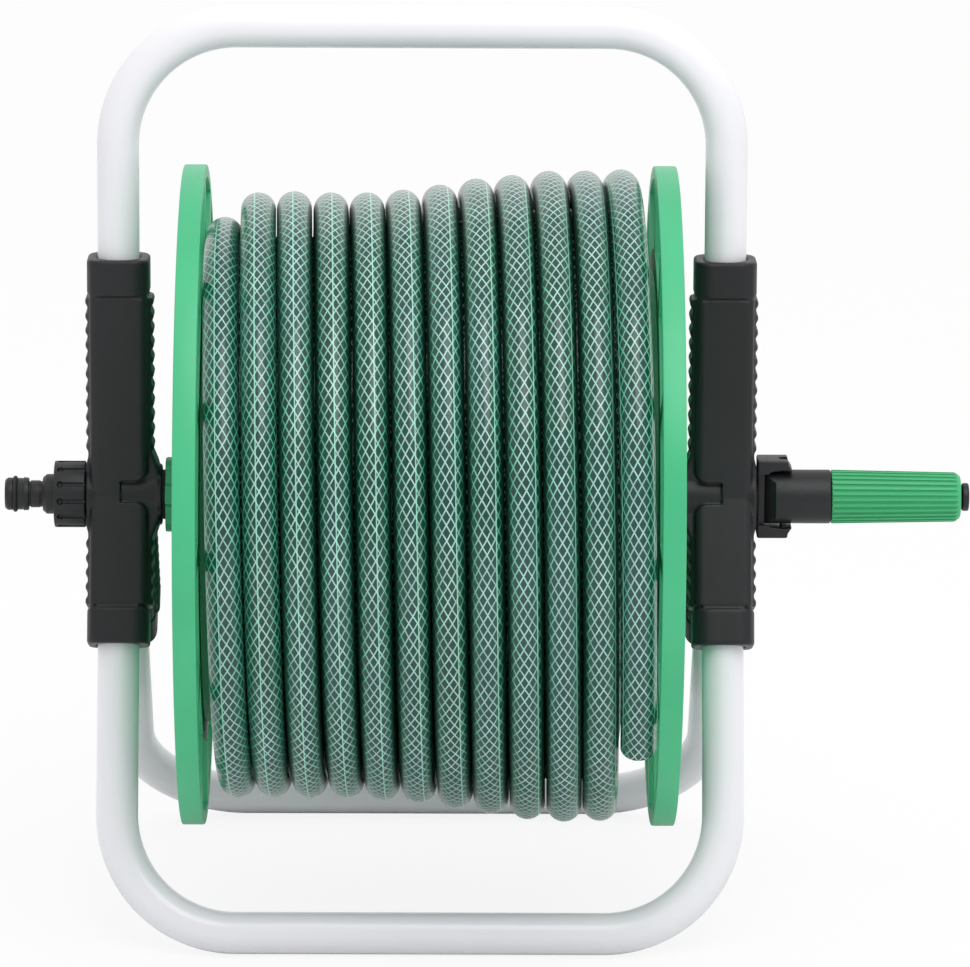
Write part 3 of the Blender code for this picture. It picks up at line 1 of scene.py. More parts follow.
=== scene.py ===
"""Looks of a portable garden hose reel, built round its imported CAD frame.

The frame gives the bodies, the joints and the place of every node. This script adds the
shapes and finishes that show: enamelled bent tubes, moulded brackets, a spoked drum, a
hose with a yarn net under clear vinyl, the inlet fittings and the winding handle.

Everything is in metres. X runs along the axle, Z is up and the user stands at -Y.
"""

import logging
import math
from dataclasses import dataclass, field
from enum import Enum
from functools import partial
from typing import Iterable, Optional, Sequence, Union

import bmesh
import bpy
import numpy as np
from mathutils import Matrix, Vector

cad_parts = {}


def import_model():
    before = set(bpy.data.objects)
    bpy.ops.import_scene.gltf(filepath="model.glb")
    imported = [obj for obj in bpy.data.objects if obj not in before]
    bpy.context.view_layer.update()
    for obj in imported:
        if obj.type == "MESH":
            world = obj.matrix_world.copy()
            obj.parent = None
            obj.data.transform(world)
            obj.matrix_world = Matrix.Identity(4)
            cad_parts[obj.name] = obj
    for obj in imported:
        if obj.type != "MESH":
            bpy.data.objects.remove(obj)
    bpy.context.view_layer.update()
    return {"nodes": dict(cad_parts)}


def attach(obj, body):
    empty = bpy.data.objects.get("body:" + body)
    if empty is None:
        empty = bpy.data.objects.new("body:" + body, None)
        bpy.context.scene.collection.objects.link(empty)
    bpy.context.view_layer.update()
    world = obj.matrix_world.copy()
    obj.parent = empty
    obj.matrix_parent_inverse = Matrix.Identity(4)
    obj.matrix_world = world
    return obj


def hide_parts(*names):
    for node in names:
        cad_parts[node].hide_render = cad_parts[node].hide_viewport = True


log = logging.getLogger("hose_reel")

Point = tuple[float, float]
Colour = tuple[float, float, float, float]
Socket = bpy.types.NodeSocket

AXLE_Y = 0.0700375
AXLE_Z = 0.1965
AXLE = Vector((0.0, AXLE_Y, AXLE_Z))
FRAME_HALF_WIDTH = 0.13749
BRACKET_OUTER_X = 0.15269
BOSS_INNER_X = 0.11809
LEFT_FACE_X = -0.09799
RIGHT_FACE_X = 0.10519


# Shared helpers


def linear(hex_colour: str) -> Colour:
    """Turn an sRGB hex colour into linear RGBA.

    Args:
        hex_colour: Six hex digits after a hash sign.

    Returns:
        The linear colour with full alpha.
    """
    parts = [int(hex_colour[start:start + 2], 16) / 255 for start in (1, 3, 5)]
    red, green, blue = (p / 12.92 if p <= 0.04045 else ((p + 0.055) / 1.055) ** 2.4 for p in parts)
    return (red, green, blue, 1.0)


def add_node(
    tree: bpy.types.NodeTree,
    kind: str,
    inputs: Optional[dict[Union[str, int], object]] = None,
    **settings: object,
) -> bpy.types.Node:
    """Add a node, set its properties and feed its inputs.

    Args:
        tree: The tree that gets the node.
        kind: The node's type name.
        inputs: A value, or an output to link, for each input's name or number.
        settings: The node's properties.

    Returns:
        The new node.
    """
    node = tree.nodes.new(kind)
    for name, value in settings.items():
        setattr(node, name, value)
    for key, value in (inputs or {}).items():
        if isinstance(value, bpy.types.NodeSocket):
            tree.links.new(value, node.inputs[key])
        else:
            node.inputs[key].default_value = value
    return node


def on_axle(x: float, radius: float = 0.0, angle: float = 0.0) -> Vector:
    """Return a point at a distance from the axle, its angle taken from the front downwards."""
    return Vector((x, AXLE_Y - radius * math.cos(angle), AXLE_Z - radius * math.sin(angle)))


def smooth_step(value: float) -> float:
    """Ease from 0 to 1 as the value runs from 0 to 1."""
    value = min(1.0, max(0.0, value))
    return value * value * (3.0 - 2.0 * value)


def arc(centre: Point, radius: float, start: float, end: float, count: int) -> list[Point]:
    """Return points along an arc, with both ends.

    Args:
        centre: The arc's centre.
        radius: The arc's radius.
        start: The first angle in radians.
        end: The last angle in radians.
        count: The number of steps.

    Returns:
        The points in order.
    """
    angles = [start + (end - start) * index / count for index in range(count + 1)]
    return [(centre[0] + radius * math.cos(a), centre[1] + radius * math.sin(a)) for a in angles]


def rounded(points: Sequence[Point], radius: float, steps: int = 4, closed: bool = True) -> list[Point]:
    """Round the corners of a flat outline.

    Args:
        points: The outline's corners.
        radius: The largest rounding; a short side gets a smaller one.
        steps: The number of steps in a quarter turn or less.
        closed: Whether the last point joins the first.

    Returns:
        The outline with an arc in place of each corner.
    """
    count = len(points)
    result: list[Point] = []
    for index, corner in enumerate(points):
        if not closed and index in (0, count - 1):
            result.append(corner)
            continue
        here = Vector(corner)
        before = Vector(points[index - 1]) - here
        after = Vector(points[(index + 1) % count]) - here
        turn = before.angle(after, math.pi) if before.length and after.length else math.pi
        if turn > math.pi - 0.05:
            result.append(corner)
            continue
        reach = min(radius / math.tan(turn / 2), 0.45 * before.length, 0.45 * after.length)
        start = here + before.normalized() * reach
        end = here + after.normalized() * reach
        for step in range(steps + 1):
            share = step / steps
            spot = start.lerp(here, share).lerp(here.lerp(end, share), share)
            result.append((spot.x, spot.y))
    return result


def placed(origin: Vector, direction: Sequence[float]) -> Matrix:
    """Return the matrix that carries local +Z to a direction, at an origin."""
    turn = Vector((0.0, 0.0, 1.0)).rotation_difference(Vector(direction))
    return Matrix.Translation(origin) @ turn.to_matrix().to_4x4()


ALONG_AXLE = placed(on_axle(0.0), (1.0, 0.0, 0.0))


def link(name: str, mesh: bpy.types.Mesh) -> bpy.types.Object:
    """Link a mesh to the scene as an object at the origin.

    Args:
        name: The object's name.
        mesh: Its mesh.

    Returns:
        The new object.
    """
    made = bpy.data.objects.new(name, mesh)
    bpy.context.scene.collection.objects.link(made)
    return made


def discard(*objects: bpy.types.Object) -> None:
    """Remove helper objects."""
    for made in objects:
        bpy.data.objects.remove(made, do_unlink=True)


def lathe(name: str, profile: Sequence[Point], steps: int, place: Matrix) -> bpy.types.Object:
    """Revolve (height, radius) points about local Z as a closed skin.

    Args:
        name: The object's name.
        profile: The points. A profile that starts and ends on the axis is left open there, and
            any other one closes on itself.
        steps: The number of steps round the axis.
        place: Where the result goes.

    Returns:
        The new object, its normals outwards.
    """
    shape = bmesh.new()
    rings = []
    for height, radius in profile:
        if radius < 1e-7:
            rings.append([shape.verts.new((0.0, 0.0, height))] * steps)
            continue
        angles = [math.tau * index / steps for index in range(steps)]
        rings.append([shape.verts.new((radius * math.cos(a), radius * math.sin(a), height)) for a in angles])
    pairs = list(zip(rings, rings[1:]))
    if profile[0][1] > 1e-7:
        pairs.append((rings[-1], rings[0]))
    for lower, upper in pairs:
        for index in range(steps):
            after = (index + 1) % steps
            corners = [lower[index], lower[after], upper[after], upper[index]]
            unique = list(dict.fromkeys(corners))
            if len(unique) > 2:
                shape.faces.new(unique)
    bmesh.ops.recalc_face_normals(shape, faces=shape.faces)
    bmesh.ops.transform(shape, matrix=place, verts=shape.verts)
    mesh = bpy.data.meshes.new(name)
    shape.to_mesh(mesh)
    shape.free()
    return link(name, mesh)


def slab(name: str, outlines: Sequence[Sequence[Point]], half_depth: float, place: Matrix,
         edge: float = 0.0, edge_steps: int = 3) -> bpy.types.Object:
    """Extrude flat outlines to both sides of their plane, with rounded edges.

    Args:
        name: The object's name.
        outlines: The closed outlines, with holes among them.
        half_depth: Half the thickness.
        place: Where the result goes.
        edge: The rounding of the edges.
        edge_steps: The number of steps in the rounding.

    Returns:
        The new object.
    """
    curve = bpy.data.curves.new(name, "CURVE")
    curve.dimensions = "2D"
    curve.fill_mode = "BOTH"
    curve.extrude = half_depth - edge
    curve.bevel_depth = edge
    curve.bevel_resolution = edge_steps
    curve.offset = -edge
    for outline in outlines:
        spline = curve.splines.new("POLY")
        spline.points.add(len(outline) - 1)
        for target, point in zip(spline.points, outline):
            target.co = (*point, 0.0, 1.0)
        spline.use_cyclic_u = True
    guide = bpy.data.objects.new(name + "_outline", curve)
    bpy.context.scene.collection.objects.link(guide)
    bpy.context.view_layer.update()
    mesh = bpy.data.meshes.new_from_object(guide.evaluated_get(bpy.context.evaluated_depsgraph_get()))
    discard(guide)
    shape = bmesh.new()
    shape.from_mesh(mesh)
    bmesh.ops.remove_doubles(shape, verts=shape.verts, dist=1e-6)
    bmesh.ops.dissolve_limit(shape, angle_limit=math.radians(0.1), verts=shape.verts, edges=shape.edges)
    bmesh.ops.recalc_face_normals(shape, faces=shape.faces)
    bmesh.ops.transform(shape, matrix=place, verts=shape.verts)
    shape.to_mesh(mesh)
    shape.free()
    mesh.materials.clear()
    return link(name, mesh)


def rod(name: str, start: Vector, end: Vector, radius: float, steps: int = 48) -> bpy.types.Object:
    """Make a round cutter between two points.

    Args:
        name: The object's name.
        start: The middle of its first end.
        end: The middle of its last end.
        radius: Its radius.
        steps: The number of its sides.

    Returns:
        The new object.
    """
    length = (end - start).length
    return lathe(name, [(0.0, 0.0), (0.0, radius), (length, radius), (length, 0.0)], steps,
                 placed(start, end - start))


def merged(name: str, parts: Sequence[bpy.types.Object]) -> bpy.types.Object:
    """Put several shells into one object, without joining their skins.

    Args:
        name: The new object's name.
        parts: The objects, which are removed.

    Returns:
        The new object.
    """
    shape = bmesh.new()
    for part in parts:
        shape.from_mesh(part.data)
    mesh = bpy.data.meshes.new(name)
    shape.to_mesh(mesh)
    shape.free()
    discard(*parts)
    return link(name, mesh)


def bake(made: bpy.types.Object) -> bpy.types.Object:
    """Turn an object's modifiers into its own plain mesh.

    Args:
        made: The object.

    Returns:
        The same object.
    """
    bpy.context.view_layer.update()
    mesh = bpy.data.meshes.new_from_object(made.evaluated_get(bpy.context.evaluated_depsgraph_get()))
    made.modifiers.clear()
    old = made.data
    made.data = mesh
    bpy.data.meshes.remove(old)
    mesh.name = made.name
    return made


def combine(target: bpy.types.Object, tools: Iterable[bpy.types.Object], operation: str,
            crossing: bool = False) -> bpy.types.Object:
    """Join or cut an object with tools, exactly, and remove the tools.

    Args:
        target: The object that is changed.
        tools: The tools.
        operation: UNION, DIFFERENCE or INTERSECT.
        crossing: Whether the target's own shells cross each other.

    Returns:
        The changed object.
    """
    tools = list(tools)
    for tool in tools:
        step = target.modifiers.new(tool.name, "BOOLEAN")
        step.operation = operation
        step.solver = "EXACT"
        step.use_self = crossing
        step.object = tool
    bake(target)
    discard(*tools)
    return target


def shade(made: bpy.types.Object, degrees: float = 32.0) -> bpy.types.Object:
    """Shade an object smooth, with its real edges kept sharp.

    Args:
        made: The object.
        degrees: The smallest turn between faces that stays a sharp edge.

    Returns:
        The same object.
    """
    made.data.shade_smooth()
    made.data.set_sharp_from_angle(angle=math.radians(degrees))
    return made


# Finishes


@dataclass(frozen=True)
class Finish:
    """A finish: one material, made on first use, and the name of the slot that it stands for."""

    name: str
    slot: str

    def material(self) -> bpy.types.Material:
        """Return the finish's material.

        Returns:
            The material, made on first use.
        """
        found = bpy.data.materials.get(self.name)
        if found is None:
            found = bpy.data.materials.new(self.name)
            found.use_nodes = True
            self.wire(found.node_tree, found.node_tree.nodes["Principled BSDF"])
        return found

    def wire(self, tree: bpy.types.NodeTree, shader: bpy.types.Node) -> None:
        """Build the finish's nodes.

        Args:
            tree: The material's tree.
            shader: Its Principled shader.
        """
        raise NotImplementedError

    def dress(self, made: bpy.types.Object) -> bpy.types.Object:
        """Give an object this finish all over.

        Args:
            made: The object.

        Returns:
            The same object.
        """
        made.data.materials.clear()
        made.data.materials.append(self.material())
        return made


@dataclass(frozen=True)
class MouldedPlastic(Finish):
    """Injection moulded plastic: an even satin skin with a fine grain and slow colour drift."""

    colour: str
    drift: str
    roughness: float
    roughness_spread: float = 0.06
    ior: float = 1.49
    grain_mm: float = 0.9
    grain_depth_mm: float = 0.02
    drift_mm: float = 60.0

    def wire(self, tree: bpy.types.NodeTree, shader: bpy.types.Node) -> None:
        """Mix two close colours by a slow noise, and roughen with a fine one.

        Args:
            tree: The material's tree.
            shader: Its Principled shader.
        """
        add = partial(add_node, tree)
        spot = add("ShaderNodeTexCoord").outputs["Object"]
        slow = add("ShaderNodeTexNoise", {"Vector": spot, "Scale": 1000 / self.drift_mm, "Detail": 3.0})
        tone = add("ShaderNodeMapRange", {"Value": slow.outputs["Fac"], "From Min": 0.35, "From Max": 0.65},
                   interpolation_type="SMOOTHSTEP")
        mix = add("ShaderNodeMix", {0: tone.outputs["Result"], 6: linear(self.colour),
                                    7: linear(self.drift)}, data_type="RGBA")
        # The grain of a spark-eroded mould is about 0.1 mm, so it is drawn coarse enough to show.
        fine = add("ShaderNodeTexNoise", {"Vector": spot, "Scale": 1000 / self.grain_mm, "Detail": 2.0})
        gloss = add("ShaderNodeMapRange", {"Value": fine.outputs["Fac"], "From Min": 0.3, "From Max": 0.7,
                                           "To Min": self.roughness - self.roughness_spread,
                                           "To Max": self.roughness + self.roughness_spread})
        bump = add("ShaderNodeBump", {"Height": fine.outputs["Fac"], "Strength": 0.6,
                                      "Distance": self.grain_depth_mm / 1000})
        tree.links.new(mix.outputs[2], shader.inputs["Base Color"])
        tree.links.new(gloss.outputs["Result"], shader.inputs["Roughness"])
        tree.links.new(bump.outputs["Normal"], shader.inputs["Normal"])
        shader.inputs["IOR"].default_value = self.ior


@dataclass(frozen=True)
class BakedEnamel(Finish):
    """Stoved enamel sprayed on steel tube: glossy white with a soft orange peel."""

    colour: str = "#EDECF1"
    drift: str = "#EAEAEE"
    roughness: float = 0.30
    roughness_spread: float = 0.03
    drift_mm: float = 70.0
    peel_mm: float = 1.8
    peel_depth_mm: float = 0.012
    ior: float = 1.5
    coat: float = 0.25
    coat_roughness: float = 0.08

    def wire(self, tree: bpy.types.NodeTree, shader: bpy.types.Node) -> None:
        """Bump the skin with the spray's orange peel and drift its colour slightly.

        Args:
            tree: The material's tree.
            shader: Its Principled shader.
        """
        add = partial(add_node, tree)
        spot = add("ShaderNodeTexCoord").outputs["Object"]
        slow = add("ShaderNodeTexNoise", {"Vector": spot, "Scale": 1000 / self.drift_mm, "Detail": 1.0})
        tone = add("ShaderNodeMapRange", {"Value": slow.outputs["Fac"], "From Min": 0.2, "From Max": 0.8},
                   interpolation_type="SMOOTHSTEP")
        mix = add("ShaderNodeMix", {0: tone.outputs["Result"], 6: linear(self.colour),
                                    7: linear(self.drift)}, data_type="RGBA")
        peel = add("ShaderNodeTexNoise", {"Vector": spot, "Scale": 1000 / self.peel_mm, "Detail": 1.0})
        bump = add("ShaderNodeBump", {"Height": peel.outputs["Fac"], "Strength": 0.5,
                                      "Distance": self.peel_depth_mm / 1000})
        gloss = add("ShaderNodeMapRange", {"Value": slow.outputs["Fac"],
                                           "To Min": self.roughness - self.roughness_spread,
                                           "To Max": self.roughness + self.roughness_spread})
        tree.links.new(mix.outputs[2], shader.inputs["Base Color"])
        tree.links.new(gloss.outputs["Result"], shader.inputs["Roughness"])
        tree.links.new(bump.outputs["Normal"], shader.inputs["Normal"])
        shader.inputs["IOR"].default_value = self.ior
        shader.inputs["Coat Weight"].default_value = self.coat
        shader.inputs["Coat Roughness"].default_value = self.coat_roughness


@dataclass(frozen=True)
class NettedVinyl(Finish):
    """Extruded clear vinyl over a knitted yarn net on a dark green core: the hose."""

    core: str = "#053E31"
    core_grey: str = "#184540"
    # The deep green painted on the flanks of packed turns as the shade between them.
    edge: str = "#012216"
    yarn: str = "#B6E4DA"
    side_yarn: str = "#66C8A4"
    straight_yarn: str = "#9FE6CC"
    yarns: int = 13
    straight_yarns: int = 3
    diamond_mm: float = 6.5
    yarn_width_mm: float = 0.55
    straight_width_mm: float = 0.52
    radius_mm: float = 8.0
    packed_from: float = 9.3
    packed_to: float = 16.9
    wander: float = 0.12
    wander_mm: float = 9.0
    swell_mm: float = 14.0
    tone_mm: float = 220.0
    straight_turn: float = 0.31
    roughness: float = 0.34
    ior: float = 1.34
    coat: float = 0.6
    coat_roughness: float = 0.12
    attribute: str = "hose_net"

    def net(self, tree: bpy.types.NodeTree, angle: Socket, length: Socket, wander: Socket) -> Socket:
        """Draw the two sets of yarn that cross.

        Args:
            tree: The material's tree.
            angle: The angle round the hose, in radians.
            length: The length along the hose, in metres.
            wander: A noise that moves the yarns a little, as the knitting tension does.

        Returns:
            The net's mask.
        """
        add = partial(add_node, tree)
        round_turns = add("ShaderNodeMath", {0: angle, 1: self.yarns / math.tau}, operation="MULTIPLY")
        along = add("ShaderNodeMath", {0: length, 1: 1000 / self.diamond_mm}, operation="MULTIPLY")
        drift = add("ShaderNodeMapRange", {"Value": wander, "To Min": -self.wander, "To Max": self.wander})
        per_mm = math.hypot(self.yarns / (math.tau * self.radius_mm), 1 / self.diamond_mm)
        half = self.yarn_width_mm / 2 * per_mm
        sets = []
        for operation in ("ADD", "SUBTRACT"):
            phase = add("ShaderNodeMath", {0: round_turns.outputs[0], 1: along.outputs[0]},
                        operation=operation)
            moved = add("ShaderNodeMath", {0: phase.outputs[0], 1: drift.outputs["Result"]},
                        operation="ADD")
            distance = add("ShaderNodeMath", {0: moved.outputs[0], 1: 0.5}, operation="PINGPONG")
            yarn = add("ShaderNodeMapRange", {"Value": distance.outputs[0], "From Min": half * 0.55,
                                              "From Max": half * 1.45, "To Min": 1.0, "To Max": 0.0},
                       interpolation_type="SMOOTHSTEP")
            sets.append(yarn.outputs["Result"])
        return add("ShaderNodeMath", {0: sets[0], 1: sets[1]}, operation="MAXIMUM").outputs[0]

    def straight(self, tree: bpy.types.NodeTree, angle: Socket) -> Socket:
        """Draw the yarns that run straight along the hose.

        Args:
            tree: The material's tree.
            angle: The angle round the hose, in radians.

        Returns:
            The yarns' mask.
        """
        add = partial(add_node, tree)
        share = add("ShaderNodeMath", {0: angle, 1: self.straight_yarns / math.tau, 2: self.straight_turn},
                    operation="MULTIPLY_ADD")
        aside = add("ShaderNodeMath", {0: share.outputs[0], 1: 0.5}, operation="PINGPONG")
        reach = self.straight_width_mm / 2 / self.radius_mm * self.straight_yarns / math.tau
        yarn = add("ShaderNodeMapRange", {"Value": aside.outputs[0], "From Min": reach * 0.5,
                                          "From Max": reach * 1.5, "To Min": 0.8, "To Max": 0.0},
                   interpolation_type="SMOOTHSTEP")
        return yarn.outputs["Result"]

    def painted_flank_shade(self, tree: bpy.types.NodeTree, flank: Socket, length: Socket) -> Socket:
        """Mask the flanks of packed turns, where the shade between the turns is painted.

        Args:
            tree: The material's tree.
            flank: How far the skin faces along the axle, from 0 to 1.
            length: The length along the hose, in metres.

        Returns:
            The flanks' mask.
        """
        add = partial(add_node, tree)
        side = add("ShaderNodeMapRange", {"Value": flank, "From Min": 0.62, "From Max": 0.90,
                                          "To Max": 0.92}, interpolation_type="SMOOTHSTEP")
        starts = add("ShaderNodeMapRange", {"Value": length, "From Min": self.packed_from - 0.1,
                                            "From Max": self.packed_from + 0.1},
                     interpolation_type="SMOOTHSTEP")
        ends = add("ShaderNodeMapRange", {"Value": length, "From Min": self.packed_to - 0.1,
                                          "From Max": self.packed_to + 0.1, "To Min": 1.0, "To Max": 0.0},
                   interpolation_type="SMOOTHSTEP")
        packed = add("ShaderNodeMath", {0: starts.outputs["Result"], 1: ends.outputs["Result"]},
                     operation="MULTIPLY")
        return add("ShaderNodeMath", {0: side.outputs["Result"], 1: packed.outputs[0]},
                   operation="MULTIPLY").outputs[0]

    def wire(self, tree: bpy.types.NodeTree, shader: bpy.types.Node) -> None:
        """Draw the net from the stored angle and length, under a glossy clear skin.

        Args:
            tree: The material's tree.
            shader: Its Principled shader.
        """
        add = partial(add_node, tree)
        stored = add("ShaderNodeAttribute", attribute_name=self.attribute)
        parts = add("ShaderNodeSeparateXYZ", {0: stored.outputs["Vector"]})
        length = parts.outputs["Z"]
        angle = add("ShaderNodeMath", {0: parts.outputs["Y"], 1: parts.outputs["X"]},
                    operation="ARCTAN2").outputs[0]
        spot = add("ShaderNodeTexCoord").outputs["Object"]
        noise = add("ShaderNodeTexNoise", {"Vector": spot, "Scale": 1000 / self.wander_mm, "Detail": 1.0})
        net = self.net(tree, angle, length, noise.outputs["Fac"])
        strength = add("ShaderNodeMapRange", {"Value": noise.outputs["Fac"], "From Min": 0.3,
                                              "From Max": 0.7, "To Min": 0.62, "To Max": 0.9})
        yarn_mask = add("ShaderNodeMath", {0: net, 1: strength.outputs["Result"]}, operation="MULTIPLY")
        slow = add("ShaderNodeTexNoise", {"W": length, "Scale": 1000 / self.tone_mm, "Detail": 2.0},
                   noise_dimensions="1D")
        tone = add("ShaderNodeMapRange", {"Value": slow.outputs["Fac"], "From Min": 0.35, "From Max": 0.65},
                   interpolation_type="SMOOTHSTEP")
        core = add("ShaderNodeMix", {0: tone.outputs["Result"], 6: linear(self.core),
                                     7: linear(self.core_grey)}, data_type="RGBA")
        facing = add("ShaderNodeTexCoord").outputs["Normal"]
        across = add("ShaderNodeSeparateXYZ", {0: facing})
        flank = add("ShaderNodeMath", {0: across.outputs["X"]}, operation="ABSOLUTE").outputs[0]
        # A yarn that is seen through more of the green skin, at the flanks, looks greener.
        green_share = add("ShaderNodeMapRange", {"Value": flank, "From Min": 0.15, "From Max": 0.75},
                          interpolation_type="SMOOTHSTEP")
        yarn = add("ShaderNodeMix", {0: green_share.outputs["Result"], 6: linear(self.yarn),
                                     7: linear(self.side_yarn)}, data_type="RGBA")
        netted = add("ShaderNodeMix", {0: yarn_mask.outputs[0], 6: core.outputs[2], 7: yarn.outputs[2]},
                     data_type="RGBA")
        striped = add("ShaderNodeMix", {0: self.straight(tree, angle), 6: netted.outputs[2],
                                        7: linear(self.straight_yarn)}, data_type="RGBA")
        # Between packed turns the flanks get painted shade: a deep green with hardly any yarn.
        flank_shaded = add("ShaderNodeMix", {0: self.painted_flank_shade(tree, flank, length), 6: striped.outputs[2],
                                        7: linear(self.edge)}, data_type="RGBA")
        swell = add("ShaderNodeTexNoise", {"Vector": spot, "Scale": 1000 / self.swell_mm, "Detail": 1.0})
        height = add("ShaderNodeMath", {0: net, 1: 0.12, 2: swell.outputs["Fac"]}, operation="MULTIPLY_ADD")
        bump = add("ShaderNodeBump", {"Height": height.outputs[0], "Strength": 0.5, "Distance": 0.0004})
        tree.links.new(flank_shaded.outputs[2], shader.inputs["Base Color"])
        tree.links.new(bump.outputs["Normal"], shader.inputs["Normal"])
        tree.links.new(bump.outputs["Normal"], shader.inputs["Coat Normal"])
        shader.inputs["Roughness"].default_value = self.roughness
        shader.inputs["IOR"].default_value = self.ior
        shader.inputs["Coat Weight"].default_value = self.coat
        shader.inputs["Coat Roughness"].default_value = self.coat_roughness


@dataclass(frozen=True)
class PlatedSteel(Finish):
    """Bright zinc plate on steel: a cool grey metal, softly mottled, with fine tool lines."""

    colour: str = "#C6CACD"
    drift: str = "#B7B9B3"
    roughness: float = 0.34
    roughness_spread: float = 0.1
    spangle_mm: float = 3.0
    line_mm: float = 0.4

    def wire(self, tree: bpy.types.NodeTree, shader: bpy.types.Node) -> None:
        """Mottle the plate, and draw out tool lines along one way.

        Args:
            tree: The material's tree.
            shader: Its Principled shader.
        """
        add = partial(add_node, tree)
        spot = add("ShaderNodeTexCoord").outputs["Object"]
        spangle = add("ShaderNodeTexVoronoi", {"Vector": spot, "Scale": 1000 / self.spangle_mm})
        tone = add("ShaderNodeMapRange", {"Value": spangle.outputs["Distance"], "From Max": 0.002})
        mix = add("ShaderNodeMix", {0: tone.outputs["Result"], 6: linear(self.colour),
                                    7: linear(self.drift)}, data_type="RGBA")
        stretched = add("ShaderNodeMapping", {"Vector": spot, "Scale": (1.0, 1.0, 0.08)})
        lines = add("ShaderNodeTexNoise", {"Vector": stretched.outputs[0], "Scale": 1000 / self.line_mm})
        gloss = add("ShaderNodeMapRange", {"Value": lines.outputs["Fac"],
                                           "To Min": self.roughness - self.roughness_spread,
                                           "To Max": self.roughness + self.roughness_spread})
        bump = add("ShaderNodeBump", {"Height": lines.outputs["Fac"], "Strength": 0.3, "Distance": 0.00001})
        tree.links.new(mix.outputs[2], shader.inputs["Base Color"])
        tree.links.new(gloss.outputs["Result"], shader.inputs["Roughness"])
        tree.links.new(bump.outputs["Normal"], shader.inputs["Normal"])
        shader.inputs["Metallic"].default_value = 1.0


# Stoved enamel: an even cool white with soft highlights along each tube.
WHITE_ENAMEL = BakedEnamel("white_stoved_enamel", "white_enamel")
# Moulded polypropylene in black: satin, a little grey where light grazes it.
BLACK_MOULDING = MouldedPlastic("black_moulded_polypropylene", "black_plastic", "#1C1C1F", "#202023", 0.44,
                                ior=1.42)
# Moulded polypropylene in green: satin drum parts with a slightly waxy skin.
GREEN_MOULDING = MouldedPlastic("green_moulded_polypropylene", "green_plastic", "#3DB37C", "#42B881", 0.40,
                                grain_depth_mm=0.012)
# The clamp collar at the hub: the same plastic, painted a deeper green as the shade it sits in beside the
# bracket.
SHADED_GREEN_MOULDING = MouldedPlastic("deep_green_moulded_polypropylene", "green_plastic", "#1F8E5B",
                                     "#239462", 0.42, grain_depth_mm=0.012)
# The grip's softer plastic: a duller green with more grain for the hand.
GREEN_GRIP = MouldedPlastic("green_moulded_grip", "green_grip", "#42B478", "#3DAE73", 0.50,
                            grain_depth_mm=0.03)
# The hose: dark green with a pale diamond net under a clear gloss, and painted shade on the flanks between
# packed turns.
HOSE_VINYL = NettedVinyl("netted_green_vinyl", "braided_hose")
# The hose's cut end: the same vinyl, solid and dull where the knife went through.
HOSE_CUT = MouldedPlastic("cut_green_vinyl", "braided_hose", "#1C5C4A", "#267059", 0.60, grain_mm=0.7)
# Seals: dull black nitrile rubber with a dry skin.
SEAL_RUBBER = MouldedPlastic("black_nitrile_rubber", "seal_rubber", "#161616", "#1D1D1D", 0.72, ior=1.52,
                             grain_mm=0.6)
# Screws, pins, clip and clamp: bright zinc plate.
ZINC = PlatedSteel("bright_zinc_plate", "zinc_steel")
# Bushes: natural acetal, milky white and slippery.
ACETAL = MouldedPlastic("natural_acetal", "acetal", "#E3E1D8", "#DCDACF", 0.38, ior=1.48)


# Geometry trees


class Kind(Enum):
    """The kinds of input that a geometry tree takes."""

    SHAPE = "NodeSocketGeometry"
    LENGTH = "NodeSocketFloat"
    COUNT = "NodeSocketInt"
    VECTOR = "NodeSocketVector"
    PIECE = "NodeSocketObject"
    MATERIAL = "NodeSocketMaterial"


class Repeat(Enum):
    """What a repeated piece does to the shape it is given."""

    STAND = "stand alone"
    CUT = "DIFFERENCE"
    JOIN = "UNION"


class GeometryTree:
    """A geometry node tree with named inputs that ends in Realize Instances and Set Material."""

    def __init__(self, name: str, inputs: dict[str, Kind]) -> None:
        """Make the tree and its inputs.

        Args:
            name: The tree's name.
            inputs: The kind of each input, by name.
        """
        self.tree = bpy.data.node_groups.new(name, "GeometryNodeTree")
        face = self.tree.interface
        face.new_socket(name="Shape", in_out="INPUT", socket_type=Kind.SHAPE.value)
        face.new_socket(name="Shape", in_out="OUTPUT", socket_type=Kind.SHAPE.value)
        self.identifiers: dict[str, str] = {}
        for label, kind in {**inputs, "Material": Kind.MATERIAL}.items():
            made = face.new_socket(name=label, in_out="INPUT", socket_type=kind.value)
            self.identifiers[label] = made.identifier
        self.given = self.tree.nodes.new("NodeGroupInput")

    def add(self, kind: str, inputs: Optional[dict[Union[str, int], object]] = None,
            **settings: object) -> bpy.types.Node:
        """Add a node to this tree.

        Args:
            kind: The node's type name.
            inputs: A value or an output for each input.
            settings: The node's properties.

        Returns:
            The new node.
        """
        return add_node(self.tree, kind, inputs, **settings)

    def close(self, shape: Socket) -> None:
        """End the tree: make instances real, set the material and put the shape out.

        Args:
            shape: The output that carries the shape.
        """
        real = self.add("GeometryNodeRealizeInstances", {"Geometry": shape})
        dressed = self.add("GeometryNodeSetMaterial", {"Geometry": real.outputs[0],
                                                       "Material": self.given.outputs["Material"]})
        self.add("NodeGroupOutput", {0: dressed.outputs[0]})

    def apply(self, made: bpy.types.Object, finish: Finish, **values: object) -> bpy.types.Object:
        """Run the tree on an object and keep the result as its plain mesh.

        Args:
            made: The object whose mesh goes in.
            finish: The finish that the tree sets.
            values: A value for each input, with underscores for the spaces in its name.

        Returns:
            The same object with its new mesh and the finish's material.
        """
        step = made.modifiers.new(self.tree.name, "NODES")
        step.node_group = self.tree
        step[self.identifiers["Material"]] = finish.material()
        for name, value in values.items():
            step[self.identifiers[name.replace("_", " ")]] = value
        bake(made)
        return made


